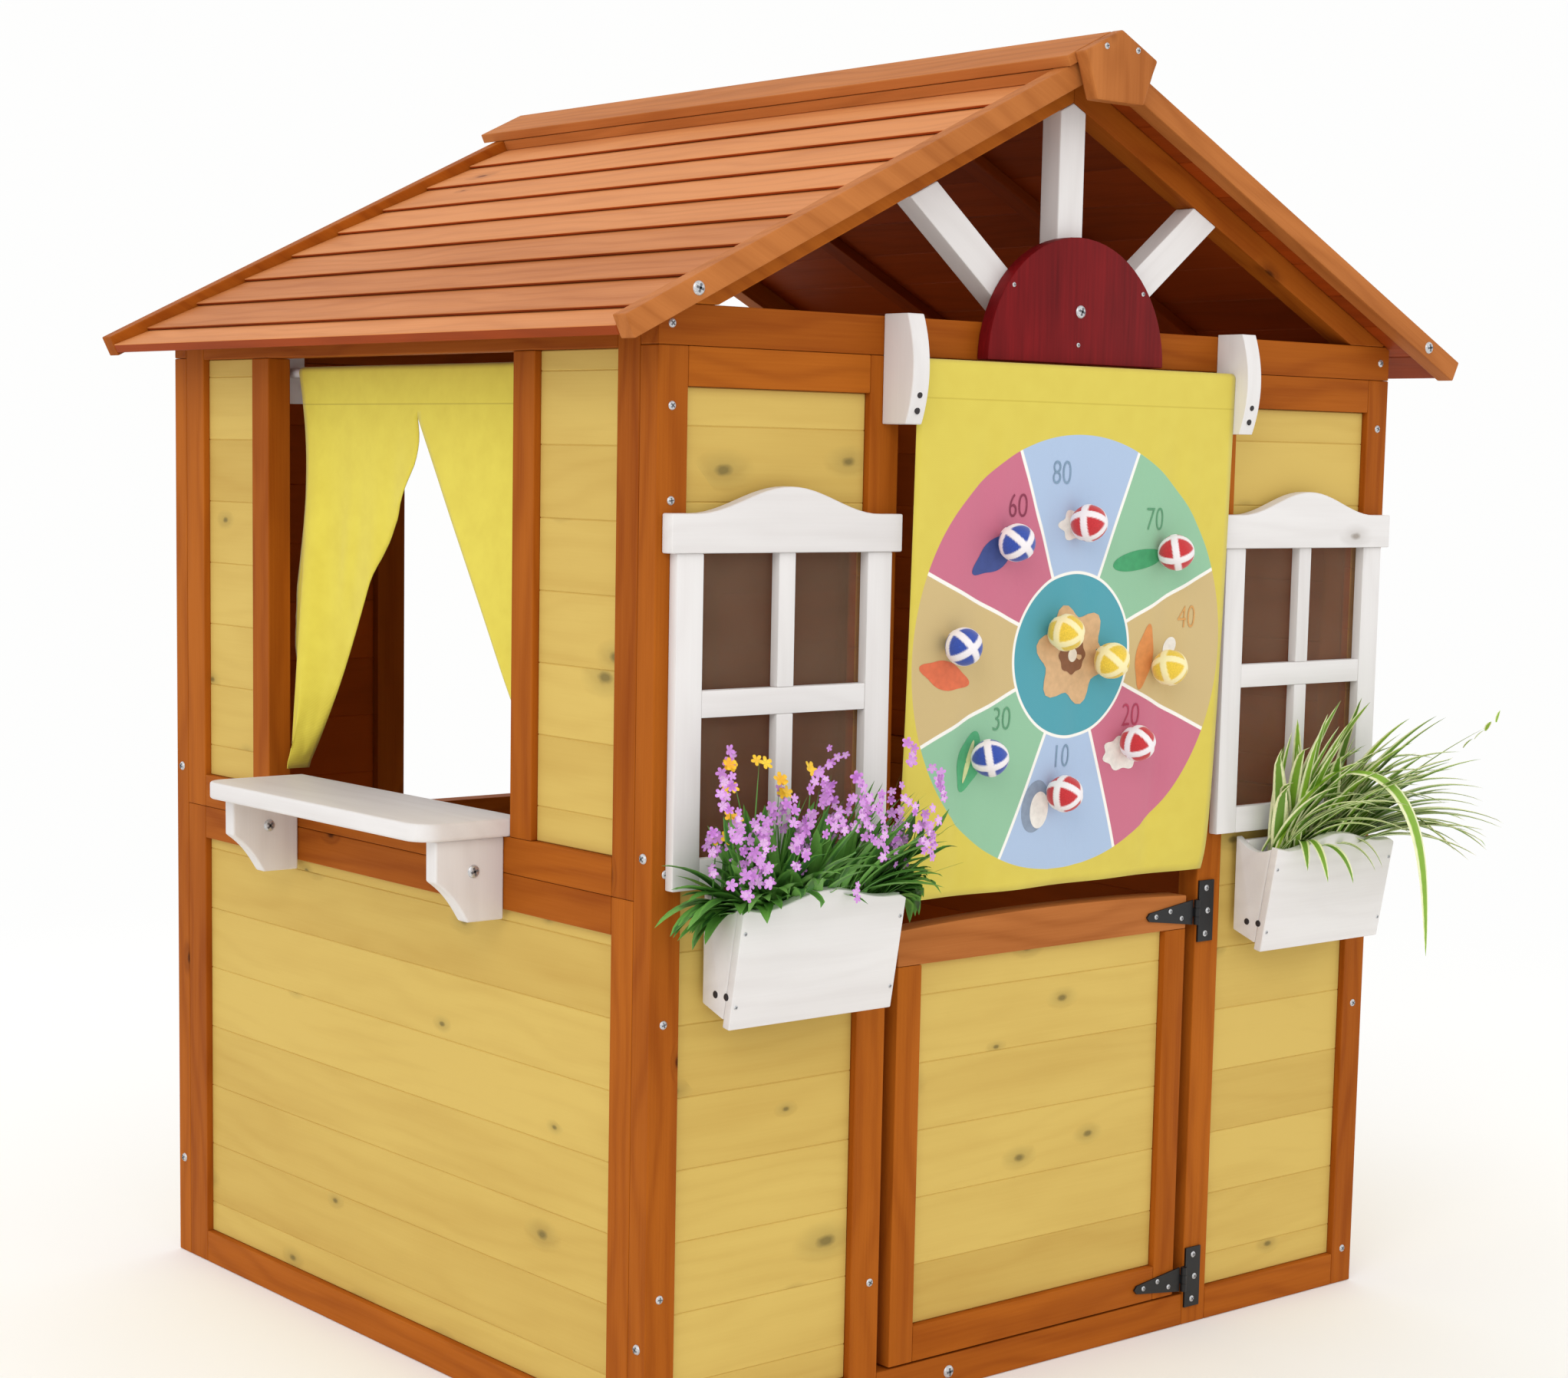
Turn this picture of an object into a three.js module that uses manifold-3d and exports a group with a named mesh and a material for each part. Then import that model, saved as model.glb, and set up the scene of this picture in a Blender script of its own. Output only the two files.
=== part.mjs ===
// A wooden playhouse: framed board walls, a slatted gable roof, a half door on strap hinges, two windows with
// flower boxes, a serving window with a shelf and a curtain, and a cloth target hung in the doorway.
// Millimetres. +X right, +Y back, +Z up. The origin is under the middle of the threshold, on the ground.
import * as THREE from "three";
import { mergeVertices } from "three/addons/utils/BufferGeometryUtils.js";
import Module from "manifold-3d";

const wasm = await Module();
wasm.setup();

// ---- Driving dimensions -------------------------------------------------------------------------------
const touchGap = 0.3; // between pieces that touch

// Walls
const wallWidth = 1030;
const wallDepth = 910;
const wallThickness = 27;
const wallHeight = 1039; // front and rear panels, up to the beams
const seamHeight = 533; // lower side panels end here, upper ones begin
const doorwayWidth = 450;
const stileWidth = 34;
const jambWidth = 37;
const rearStileWidth = 40;
const railHeight = 36;
const boardPitch = 69;
const boardThickness = 10;
const boardSetback = 7; // board face behind the stile face
const grooveWidth = 4;
const grooveDepth = 2.5;
const beamTrim = 2.7; // height that the roof takes off the beams' top corners
const thresholdHeight = 35;
const rearSillHeight = 512;

// Serving window in the left wall, measured from the face of the front wall
const servingStart = 229;
const servingEndMargin = 213; // from the opening to the face of the rear wall
const servingJambWidth = 36;

// Roof
const roofSlope = 0.494; // rise over run
const eaveOverhang = 69;
const eaveRise = 22; // eave tips above the panels' top
const frontOverhang = 44;
const rearOverhang = 43;
const bargeThickness = 21;
const bargeHeight = 23;
const slatDrop = 9.5; // slat faces below the bargeboards' top edges
const slatThickness = 10;
const slatPitch = 69.3;
const firstSlatExposure = 51;
const lapStep = 4;
const rafterHeight = 27;
const rafterClear = 2; // rafter feet inside the walls' outer faces
const capWidth = 61;
const capThickness = 11;
const capRearOverhang = 20;
const capFrontOverhang = 4;
const battenWidth = 30;
const battenThickness = 12;
const battenInset = 210; // from the inner faces of the end rafters
const battenFoot = 22; // battens begin up-slope of the wall's inner face

// Ridge end plate
const plateThickness = 16;
const plateShoulder = 51;
const plateFoot = 33;
const plateHeight = 70;
const plateNotch = 6; // the sides step in by this
const plateNotchDrop = 13;

// Sun and rays in the front gable
const sunRadius = 125;
const sunThickness = 16;
const rayWidth = 35;
const rayDepth = 26;
const rayAngle = 38.5; // degrees above the beam

// Windows
const windowInset = 15; // frame inside the panel's edges
const windowSill = 545;
const windowStile = 31;
const windowBottomRail = 28;
const upperPaneHeight = 125;
const windowMidRail = 25;
const windowMuntin = 20;
const windowHeadDrop = 186; // underside of the header board below the panels' top
const windowThickness = 12;
const headerOverhang = 9;
const headerHeight = 36;
const headerRise = 25;
const headerShoulder = 28;
const headerProud = 4; // in front of the window frame
const paneThickness = 2;
const paneLap = 2; // pane and board opening beyond the frame's opening, each side

// Flower boxes
const planterMargin = 45; // box ends inside the panel's edges
const planterShift = 16; // boxes hang right of the middle of their panels
const planterHang = 109; // box floor below the window sill
const planterSideHeight = 103;
const planterBottomDepth = 40;
const planterTopDepth = 60;
const planterSideThickness = 10;
const planterFrontThickness = 10;
const planterFrontDrop = 20; // front board below the sides
const planterFrontHeight = 115;
const planterFrontRise = 15;
const planterFloorRise = 8; // floor board above the sides' feet
const planterFloorThickness = 10;
const planterBackDrop = 4; // back board below the sides' tops
const planterScoop = 6; // dip of the sides' top edges
const planterHorn = 20; // level ends of the front board's top edge
const planterSwell = 30; // from the level ends to where the curve steepens
const planterCorner = 8;
const planterCornerDrop = 4;

// Plants
const plantRise = 113; // foliage begins above the box's floor
const plantRootLift = 20; // root ball above the box's foot
const plantRootOverlap = 12; // root ball up into the foliage
const plantRimDrop = 14; // where the root ball narrows, below the sides' tops
const flowersWidth = 344;
const flowersShift = -55; // off the middle of the box, clear of the doorway
const flowersHeight = 118;
const flowersReach = 100; // out from the window frames
const spiderWidth = 330;
const spiderHeight = 150;
const spiderReach = 130;
const spiderShift = 70;

// Shelf
const shelfReach = 103;
const shelfThickness = 18;
const shelfShort = 38; // shorter than the opening
const shelfInset = 20; // onto the sill
const shelfBracketThickness = 18;
const shelfBracketDepth = 79;
const shelfBracketHeight = 82;
const shelfBracketFoot = 42;
const shelfBracketNose = 40;
const shelfBracketEndInset = 8;
const shelfBracketPull = 14; // of the foot's curve, sideways
const shelfBracketNoseFall = 10;
const shelfBracketFootRise = 24;

// Curtain and its rail
const curtainInset = 9; // from the inner face of the wall to the cloth
const curtainThickness = 5;
const curtainHeading = 43; // uncut cloth below the rod
const curtainBottom = 590;
const curtainRodRadius = 5;
const curtainBracketHeight = 66;
const curtainBracketThickness = 18;
const curtainBracketDepth = 28;
const curtainRodDrop = 15; // rod below the opening's top rail
const pocketWall = 2; // cloth of a rod's sleeve
const curtainGather = 58; // width of each half where it is tied back

// Target
const targetLap = 1; // cloth past the doorway's edges, each side
const targetDrop = 522;
const targetThickness = 4;
const targetRodRadius = 5;
const targetRodReach = 21; // rod centre in front of the wall
const targetRodDrop = 8; // rod below the panels' top
const targetBracketThickness = 21;
const targetBracketHeight = 104;
const targetBracketDrop = 65; // bracket foot below the panels' top
const targetBracketEnd = 34;
const targetBracketBelly = 44;

// Door and hinges
const doorSideGap = 16; // door to jamb, each side
const doorBottom = 37;
const doorTop = 480;
const doorStile = 32;
const doorBottomRail = 37;
const doorTopRail = 36;
const doorArch = 6;
const doorFirstBoard = 61; // height of the door's lowest board
const hingePinInset = 3; // pin centre inside the doorway's edge
const hingePinReach = 4; // pin centre in front of the wall
const hingeBarrelRadius = 3.5;
const hingeLeafWidth = 28;
const hingeLeafHeight = 67;
const hingeLeafThickness = 2.2;
const hingeStrapLength = 72;
const hingeStrapRoot = 27;
const hingeStrapTip = 9;
const hingeStrapPoint = 4;
const hingePlateGap = 1; // leaf and strap plates from the barrel
const hingeHeights = [53, 461];

// ---- Derived places -----------------------------------------------------------------------------------
const halfWidth = wallWidth / 2;
const frontFace = -wallThickness / 2;
const frontInner = frontFace + wallThickness;
const rearFace = frontFace + wallDepth;
const rearInner = rearFace - wallThickness;
const doorWidth = doorwayWidth - 2 * doorSideGap;
const hingePinX = doorwayWidth / 2 - hingePinInset;
const panelCentre = (wallWidth + doorwayWidth) / 4;
const sideStart = frontInner + touchGap;
const sideEnd = rearInner - touchGap;

const panelWidth = (wallWidth - doorwayWidth) / 2;
const servingWidth = wallDepth - servingStart - servingEndMargin;
const shelfLength = servingWidth - shelfShort;
const windowWidth = panelWidth - 2 * windowInset;
const windowHead = wallHeight - windowHeadDrop;
const windowMidRailFrom = windowHead - upperPaneHeight - windowMidRail;
const headerWidth = windowWidth + 2 * headerOverhang;
const planterWidth = panelWidth - 2 * planterMargin;
const planterBottom = windowSill - planterHang;
const plantBase = planterBottom + plantRise;
const targetWidth = doorwayWidth + 2 * targetLap;
const targetRodHeight = wallHeight - targetRodDrop;
const targetBracketBase = wallHeight - targetBracketDrop;

const eaveTipHeight = wallHeight + eaveRise;
const slopeAngle = Math.atan(roofSlope);
const eaveX = halfWidth + eaveOverhang;
const slopeLength = eaveX / Math.cos(slopeAngle);
const bargeFront = frontFace - frontOverhang;
const bargeRear = rearFace + rearOverhang;
const slatBottom = slatDrop + slatThickness;
const underSlatAtWall = eaveTipHeight + eaveOverhang * roofSlope - slatBottom / Math.cos(slopeAngle);
const sideTop = underSlatAtWall - 2 * touchGap;
const beamHeight = underSlatAtWall - wallHeight + beamTrim;
const curtainRodHeight = sideTop - railHeight - curtainRodDrop;
const curtainSplit = curtainRodHeight - curtainHeading;

// ---- Materials ----------------------------------------------------------------------------------------
function finish(color, roughness, metalness = 0) {
  return () => new THREE.MeshStandardMaterial({ color, roughness, metalness });
}
const brownWood = finish("#a2511c", 0.6);
const yellowWood = finish("#d3b15a", 0.65);
const roofWood = finish("#cf8a57", 0.7);
const whiteWood = finish("#e8e4e2", 0.6);
const redWood = finish("#6e1c20", 0.55);
const clearPane = finish("#8b7a70", 0.25);
const yellowCloth = finish("#dccb52", 0.85);
const blackSteel = finish("#141414", 0.45, 0.4);
const foliage = finish("#4f7d2e", 0.7);

// ---- Solids -------------------------------------------------------------------------------------------
function solidOf(geometry) {
  const plain = geometry.clone();
  plain.deleteAttribute("normal");
  plain.deleteAttribute("uv");
  const merged = mergeVertices(plain, 1e-3);
  return new wasm.Manifold(
    new wasm.Mesh({
      numProp: 3,
      vertProperties: merged.attributes.position.array,
      triVerts: new Uint32Array(merged.index.array),
    }),
  );
}

function geometryOf(solid) {
  const mesh = solid.getMesh();
  const geometry = new THREE.BufferGeometry();
  geometry.setAttribute("position", new THREE.BufferAttribute(new Float32Array(mesh.vertProperties), 3));
  geometry.setIndex(new THREE.BufferAttribute(new Uint32Array(mesh.triVerts), 1));
  geometry.computeVertexNormals();
  return geometry;
}

function join(...geometries) {
  return geometryOf(geometries.map(solidOf).reduce((whole, part) => whole.add(part)));
}

function cut(geometry, ...tools) {
  return geometryOf(tools.map(solidOf).reduce((whole, tool) => whole.subtract(tool), solidOf(geometry)));
}

function common(geometry, other) {
  return geometryOf(solidOf(geometry).intersect(solidOf(other)));
}

function box(x0, x1, y0, y1, z0, z1) {
  const geometry = new THREE.BoxGeometry(x1 - x0, y1 - y0, z1 - z0);
  return geometry.translate((x0 + x1) / 2, (y0 + y1) / 2, (z0 + z1) / 2);
}

function extrude(outline, depth) {
  const shape = outline instanceof THREE.Shape ? outline : new THREE.Shape(outline);
  return new THREE.ExtrudeGeometry(shape, { depth, bevelEnabled: false, curveSegments: 16 });
}

// An outline in (x, z), made into a solid from y0 to y1.
function prismAlongY(outline, y0, y1) {
  return extrude(outline, y1 - y0).rotateX(Math.PI / 2).translate(0, y1, 0);
}

// An outline in (y, z), made into a solid from x0 to x1.
function prismAlongX(outline, x0, x1) {
  const turn = new THREE.Matrix4().makeBasis(
    new THREE.Vector3(0, 1, 0),
    new THREE.Vector3(0, 0, 1),
    new THREE.Vector3(1, 0, 0),
  );
  return extrude(outline, x1 - x0).applyMatrix4(turn).translate(x0, 0, 0);
}

function points(pairs) {
  return pairs.map(([a, b]) => new THREE.Vector2(a, b));
}

const house = new THREE.Group();

function place(name, geometry, material) {
  const mesh = new THREE.Mesh(geometry, material());
  mesh.name = name;
  house.add(mesh);
}

// ---- Framed board panels ------------------------------------------------------------------------------
// A panel is drawn in (across, up). "stand" turns it into the wall that it belongs to.
const standFront = (a0, a1, d0, d1, z0, z1) => box(a0, a1, frontFace + d0, frontFace + d1, z0, z1);
const standRear = (a0, a1, d0, d1, z0, z1) => box(a0, a1, rearFace - d1, rearFace - d0, z0, z1);
const standLeft = (a0, a1, d0, d1, z0, z1) => box(-halfWidth + d0, -halfWidth + d1, a0, a1, z0, z1);
const standRight = (a0, a1, d0, d1, z0, z1) => box(halfWidth - d1, halfWidth - d0, a0, a1, z0, z1);

// The frame's outer size, with its uprights given as [from, to] and its rails too.
function frameOf(stand, across, up, uprights, rails) {
  const members = uprights.map(([a, b]) => stand(a, b, 0, wallThickness, up[0], up[1]));
  rails.forEach(([a, b]) => members.push(stand(across[0], across[1], 0, wallThickness, a, b)));
  return join(...members);
}

// Boards that fill one opening of a frame, with a groove at every board edge, counted from "firstEdge".
function boardsOf(stand, across, up, firstEdge) {
  const [a0, a1] = [across[0] + touchGap, across[1] - touchGap];
  const [z0, z1] = [up[0] + touchGap, up[1] - touchGap];
  const face = boardSetback;
  const grooves = [];
  const half = grooveWidth / 2;
  for (let z = firstEdge; z < z1 - half; z += boardPitch) {
    if (z > z0 + half) grooves.push(stand(a0 - 1, a1 + 1, face - 1, face + grooveDepth, z - half, z + half));
  }
  return cut(stand(a0, a1, face, face + boardThickness, z0, z1), ...grooves);
}

function endUprights(from, to, first, last) {
  return [
    [from, from + first],
    [to - last, to],
  ];
}

function plainPanel(name, stand, across, up, first, last) {
  const rails = endUprights(up[0], up[1], railHeight, railHeight);
  place(name + "_frame", frameOf(stand, across, up, endUprights(...across, first, last), rails), brownWood);
  const inside = [across[0] + first, across[1] - last];
  const opening = [up[0] + railHeight, up[1] - railHeight];
  place(name + "_boards", boardsOf(stand, inside, opening, opening[0] + boardPitch / 2), yellowWood);
}

// ---- Front wall ---------------------------------------------------------------------------------------
function windowCentre(side) {
  return side * panelCentre;
}

function frontPanel(name, side) {
  const outer = side * halfWidth;
  const inner = (side * doorwayWidth) / 2;
  const across = [Math.min(outer, inner), Math.max(outer, inner)];
  const first = side < 0 ? stileWidth : jambWidth;
  const last = side < 0 ? jambWidth : stileWidth;
  const up = [0, wallHeight - touchGap];
  const rails = endUprights(up[0], up[1], railHeight, railHeight);
  place(
    name + "_frame",
    frameOf(standFront, across, up, endUprights(...across, first, last), rails),
    brownWood,
  );
  const inside = [across[0] + first, across[1] - last];
  const between = [up[0] + railHeight, up[1] - railHeight];
  const boards = boardsOf(standFront, inside, between, between[0] + boardPitch / 2);
  const half = windowWidth / 2 - windowStile + paneLap;
  const centre = windowCentre(side);
  const hole = standFront(
    centre - half - touchGap,
    centre + half + touchGap,
    0,
    wallThickness,
    windowSill + windowBottomRail - paneLap - touchGap,
    windowHead + paneLap + touchGap,
  );
  place(name + "_boards", cut(boards, hole), yellowWood);
}

function windowAt(name, side) {
  const centre = windowCentre(side);
  const x0 = centre - windowWidth / 2;
  const x1 = centre + windowWidth / 2;
  const y0 = frontFace - windowThickness;
  const y1 = frontFace - touchGap;
  const upper = windowHead + headerHeight / 2;
  const bar = (a, b, c, d) => box(a, b, y0, y1, c, d);
  const header = new THREE.Shape();
  const half = headerWidth / 2;
  const shoulder = windowHead + headerHeight;
  const bell = half - headerShoulder;
  header.moveTo(centre - half, windowHead);
  header.lineTo(centre + half, windowHead);
  header.lineTo(centre + half, shoulder);
  header.lineTo(centre + bell, shoulder);
  const crown = shoulder + headerRise;
  header.bezierCurveTo(centre + bell / 2, shoulder, centre + bell / 2, crown, centre, crown);
  header.bezierCurveTo(centre - bell / 2, crown, centre - bell / 2, shoulder, centre - bell, shoulder);
  header.lineTo(centre - half, shoulder);
  place(
    name + "_frame",
    join(
      bar(x0, x0 + windowStile, windowSill, upper),
      bar(x1 - windowStile, x1, windowSill, upper),
      bar(centre - windowMuntin / 2, centre + windowMuntin / 2, windowSill, upper),
      bar(x0, x1, windowSill, windowSill + windowBottomRail),
      bar(x0, x1, windowMidRailFrom, windowMidRailFrom + windowMidRail),
      prismAlongY(header, y0 - headerProud, y1),
    ),
    whiteWood,
  );
  const pane = windowWidth / 2 - windowStile + paneLap;
  place(
    name + "_pane",
    box(
      centre - pane,
      centre + pane,
      frontFace + touchGap,
      frontFace + touchGap + paneThickness,
      windowSill + windowBottomRail - paneLap,
      windowHead + paneLap,
    ),
    clearPane,
  );
}

// The face of a flower box's front board leans out: its distance from the wall at a height.
function planterFrontAt(z) {
  const low = planterBottom - planterFrontDrop;
  return planterBottomDepth + ((planterTopDepth - planterBottomDepth) * (z - low)) / planterFrontHeight;
}

function planterMiddle(side) {
  return windowCentre(side) + planterShift;
}

function planterAt(name, side) {
  const centre = planterMiddle(side);
  const x0 = centre - planterWidth / 2;
  const x1 = centre + planterWidth / 2;
  const back = frontFace - touchGap;
  const low = planterBottom - planterFrontDrop;
  const sideFrontLow = planterBottom - planterFrontDrop / 2;
  const inner = (z) => frontFace - planterFrontAt(z) + planterFrontThickness / 2;
  const top = planterBottom + planterSideHeight;
  const sideTopFront = low + planterFrontHeight - planterFrontRise / 2;
  const sides = new THREE.Shape();
  sides.moveTo(back, planterBottom);
  sides.lineTo(back, top);
  const dip = sideTopFront - planterScoop;
  sides.quadraticCurveTo((back + inner(top)) / 2, dip, inner(sideTopFront), sideTopFront);
  sides.lineTo(inner(sideFrontLow), sideFrontLow);
  const board = (a, b) => prismAlongX(sides, a, b);
  const floorLow = planterBottom + planterFloorRise;
  const floorTop = floorLow + planterFloorThickness;
  const floor = prismAlongX(
    points([
      [back, floorLow],
      [back, floorTop],
      [inner(floorTop), floorTop],
      [inner(floorLow), floorLow],
    ]),
    x0 + 1,
    x1 - 1,
  );
  const backTop = top - planterBackDrop;
  const backBoard = box(x0 + 1, x1 - 1, back - planterSideThickness, back, floorLow, backTop);
  // Front board: straight ends and foot, and a top edge that rises to a low crown.
  const front = new THREE.Shape();
  const shoulder = planterFrontHeight;
  front.moveTo(x0, 0);
  front.lineTo(x1, 0);
  front.lineTo(x1, shoulder - planterCornerDrop);
  front.lineTo(x1 - planterCorner, shoulder);
  front.lineTo(x1 - planterHorn, shoulder);
  const crown = shoulder + planterFrontRise;
  const bend = planterHorn + planterSwell / 2;
  const swell = planterHorn + planterSwell;
  front.bezierCurveTo(x1 - bend, shoulder, x1 - swell, crown, centre, crown);
  front.bezierCurveTo(x0 + swell, crown, x0 + bend, shoulder, x0 + planterHorn, shoulder);
  front.lineTo(x0, shoulder);
  const lean = Math.atan((planterTopDepth - planterBottomDepth) / planterFrontHeight);
  const geometry = extrude(front, planterFrontThickness)
    .translate(0, 0, -planterFrontThickness)
    .rotateX(Math.PI / 2)
    .rotateX(lean)
    .translate(0, frontFace - planterBottomDepth, low);
  const leftSide = board(x0, x0 + planterSideThickness);
  const rightSide = board(x1 - planterSideThickness, x1);
  place(name, join(leftSide, rightSide, floor, backBoard, geometry), whiteWood);
}

function plantsAt(name, side, width, height, reach, shift) {
  const centre = planterMiddle(side);
  const back = frontFace - Math.max(windowThickness, planterSideThickness + touchGap) - 1;
  const inner = (z) => frontFace - planterFrontAt(z) + planterFrontThickness + 1;
  const low = planterBottom + plantRootLift;
  const half = planterWidth / 2 - planterSideThickness - 1;
  const rim = planterBottom + planterSideHeight - plantRimDrop;
  const rootTop = plantBase + plantRootOverlap;
  const neckFront = inner(rim) + 1;
  const root = prismAlongX(
    points([
      [back, low],
      [back, rootTop],
      [neckFront, rootTop],
      [neckFront, rim],
      [inner(low), low],
    ]),
    centre - half,
    centre + half,
  );
  const dome = new THREE.SphereGeometry(0.5, 28, 18)
    .scale(width, reach, 2 * height)
    .translate(centre + shift, back - reach / 2, plantBase);
  const above = box(-2 * wallWidth, 2 * wallWidth, -wallDepth, wallDepth, plantBase, 2 * wallHeight);
  place(name, join(common(dome, above), root), foliage);
}

function frontWall() {
  frontPanel("front_left", -1);
  frontPanel("front_right", 1);
  place(
    "threshold_rail",
    standFront(
      -doorwayWidth / 2 + touchGap,
      doorwayWidth / 2 - touchGap,
      0,
      wallThickness,
      0,
      thresholdHeight,
    ),
    brownWood,
  );
  windowAt("left_window", -1);
  windowAt("right_window", 1);
  planterAt("left_planter", -1);
  planterAt("right_planter", 1);
  plantsAt("flowers", -1, flowersWidth, flowersHeight, flowersReach, flowersShift);
  plantsAt("spider_plant", 1, spiderWidth, spiderHeight, spiderReach, spiderShift);
}

// ---- Side and rear walls ------------------------------------------------------------------------------
function leftWall() {
  const across = [sideStart, sideEnd];
  plainPanel("left_lower", standLeft, across, [0, seamHeight - touchGap], stileWidth, rearStileWidth);
  const up = [seamHeight, sideTop];
  const opening = [frontFace + servingStart, frontFace + servingStart + servingWidth];
  const uprights = [
    ...endUprights(...across, stileWidth, rearStileWidth),
    [opening[0] - servingJambWidth, opening[0]],
    [opening[1], opening[1] + servingJambWidth],
  ];
  const rails = endUprights(up[0], up[1], railHeight, railHeight);
  place("left_upper_frame", frameOf(standLeft, across, up, uprights, rails), brownWood);
  const inner = [up[0] + railHeight, up[1] - railHeight];
  const firstEdge = inner[0] + boardPitch / 2;
  const frontSpan = [across[0] + stileWidth, opening[0] - servingJambWidth];
  const rearSpan = [opening[1] + servingJambWidth, across[1] - rearStileWidth];
  place("left_upper_front_boards", boardsOf(standLeft, frontSpan, inner, firstEdge), yellowWood);
  place("left_upper_rear_boards", boardsOf(standLeft, rearSpan, inner, firstEdge), yellowWood);
}

function rightWall() {
  const across = [sideStart, sideEnd];
  plainPanel("right_lower", standRight, across, [0, seamHeight - touchGap], stileWidth, rearStileWidth);
  plainPanel("right_upper", standRight, across, [seamHeight, sideTop], stileWidth, rearStileWidth);
}

function rearWall() {
  const inner = doorwayWidth / 2;
  const up = [0, wallHeight - touchGap];
  plainPanel("rear_left", standRear, [-halfWidth, -inner], up, stileWidth, jambWidth);
  plainPanel("rear_right", standRear, [inner, halfWidth], up, jambWidth, stileWidth);
  const middle = [-inner + touchGap, inner - touchGap];
  plainPanel("rear_centre", standRear, middle, [0, rearSillHeight], stileWidth, stileWidth);
}

// ---- Roof ---------------------------------------------------------------------------------------------
// A point of a slope: "along" up from the eave tip, "down" square below the bargeboards' top edges.
function slopePoint(side, along, down) {
  const x = -eaveX + along * Math.cos(slopeAngle) + down * Math.sin(slopeAngle);
  const z = eaveTipHeight + along * Math.sin(slopeAngle) - down * Math.cos(slopeAngle);
  return new THREE.Vector2(-side * x, z);
}

// The along-slope distance at which a depth meets the middle plane of the house.
function ridgeAlong(down) {
  return slopeLength - down * Math.tan(slopeAngle);
}

// A bar along one slope, from "start" up to the middle plane, between two depths.
function slopeBar(side, start, top, bottom, y0, y1) {
  const clear = touchGap / 2 / Math.cos(slopeAngle);
  return prismAlongY(
    [
      slopePoint(side, start, top),
      slopePoint(side, ridgeAlong(top) - clear, top),
      slopePoint(side, ridgeAlong(bottom) - clear, bottom),
      slopePoint(side, start, bottom),
    ],
    y0,
    y1,
  );
}

// Everything under the roof plane at a depth, down to the ground.
function underRoof(depth, y0, y1) {
  const ground = [new THREE.Vector2(-eaveX, 0), new THREE.Vector2(eaveX, 0)];
  const ridge = slopePoint(1, ridgeAlong(depth), depth);
  return prismAlongY([...ground, slopePoint(1, 0, depth), ridge, slopePoint(-1, 0, depth)], y0, y1);
}

function slatPanel(name, side) {
  const y0 = bargeFront + bargeThickness + touchGap;
  const y1 = bargeRear - bargeThickness - touchGap;
  const outline = [slopePoint(side, 0, slatBottom), slopePoint(side, 0, slatDrop)];
  const end = ridgeAlong(slatDrop + lapStep) - touchGap;
  for (let along = firstSlatExposure; along < end - boardPitch / 2; along += slatPitch) {
    outline.push(slopePoint(side, along, slatDrop + lapStep), slopePoint(side, along, slatDrop));
  }
  outline.push(slopePoint(side, end, slatDrop + lapStep));
  outline.push(slopePoint(side, ridgeAlong(slatBottom) - touchGap, slatBottom));
  const slats = prismAlongY(outline, y0, y1);
  const battenStart = (eaveOverhang + wallThickness) / Math.cos(slopeAngle) + battenFoot;
  const battens = [frontInner + battenInset, rearInner - battenInset - battenWidth].map((y) =>
    slopeBar(side, battenStart, slatBottom - 1, slatBottom + battenThickness, y, y + battenWidth),
  );
  place(name, join(slats, ...battens), roofWood);
}

function bargeboard(name, side, y0) {
  place(name, slopeBar(side, 0, 0, bargeHeight, y0, y0 + bargeThickness), brownWood);
}

// An inverted V: both slopes between two depths, from "start" up to the ridge.
function chevron(start, top, bottom, y0, y1) {
  const outline = [
    slopePoint(-1, start, top),
    slopePoint(-1, ridgeAlong(top), top),
    slopePoint(1, start, top),
    slopePoint(1, start, bottom),
    slopePoint(1, ridgeAlong(bottom), bottom),
    slopePoint(-1, start, bottom),
  ];
  return prismAlongY(outline, y0, y1);
}

// A pair of rafters that stands on a beam.
function rafters(name, y0, y1) {
  const top = slatBottom + touchGap;
  const foot = (eaveOverhang + rafterClear) / Math.cos(slopeAngle);
  const pair = chevron(foot, top, top + rafterHeight, y0, y1);
  const beamTop = wallHeight + beamHeight + touchGap;
  const above = box(-wallWidth, wallWidth, y0 - 1, y1 + 1, beamTop, 2 * wallHeight);
  place(name, common(pair, above), brownWood);
}

function beam(name, y0) {
  const y1 = y0 + wallThickness;
  const full = box(-halfWidth, halfWidth, y0, y1, wallHeight, wallHeight + beamHeight);
  place(name, common(full, underRoof(slatBottom + 2 * touchGap, y0 - 1, y1 + 1)), brownWood);
}

function ridgeCap() {
  const y0 = bargeFront - capFrontOverhang;
  const y1 = bargeRear + capRearOverhang;
  const bottom = -touchGap;
  const geometry = chevron(slopeLength - capWidth, bottom - capThickness, bottom, y0, y1);
  place("ridge_cap", geometry, roofWood);
}

function ridgeTop() {
  return eaveTipHeight + eaveX * roofSlope + (capThickness + touchGap) / Math.cos(slopeAngle);
}

function ridgePlate() {
  const top = ridgeTop();
  const shoulder = top - plateShoulder * roofSlope;
  const foot = top - plateHeight;
  const outline = points([
    [0, top],
    [plateShoulder, shoulder],
    [plateShoulder - plateNotch, shoulder - plateNotchDrop],
    [plateFoot, foot],
    [-plateFoot, foot],
    [plateNotch - plateShoulder, shoulder - plateNotchDrop],
    [-plateShoulder, shoulder],
  ]);
  const y1 = bargeFront - capFrontOverhang - touchGap;
  place("ridge_plate", prismAlongY(outline, y1 - plateThickness, y1), brownWood);
}

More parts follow.
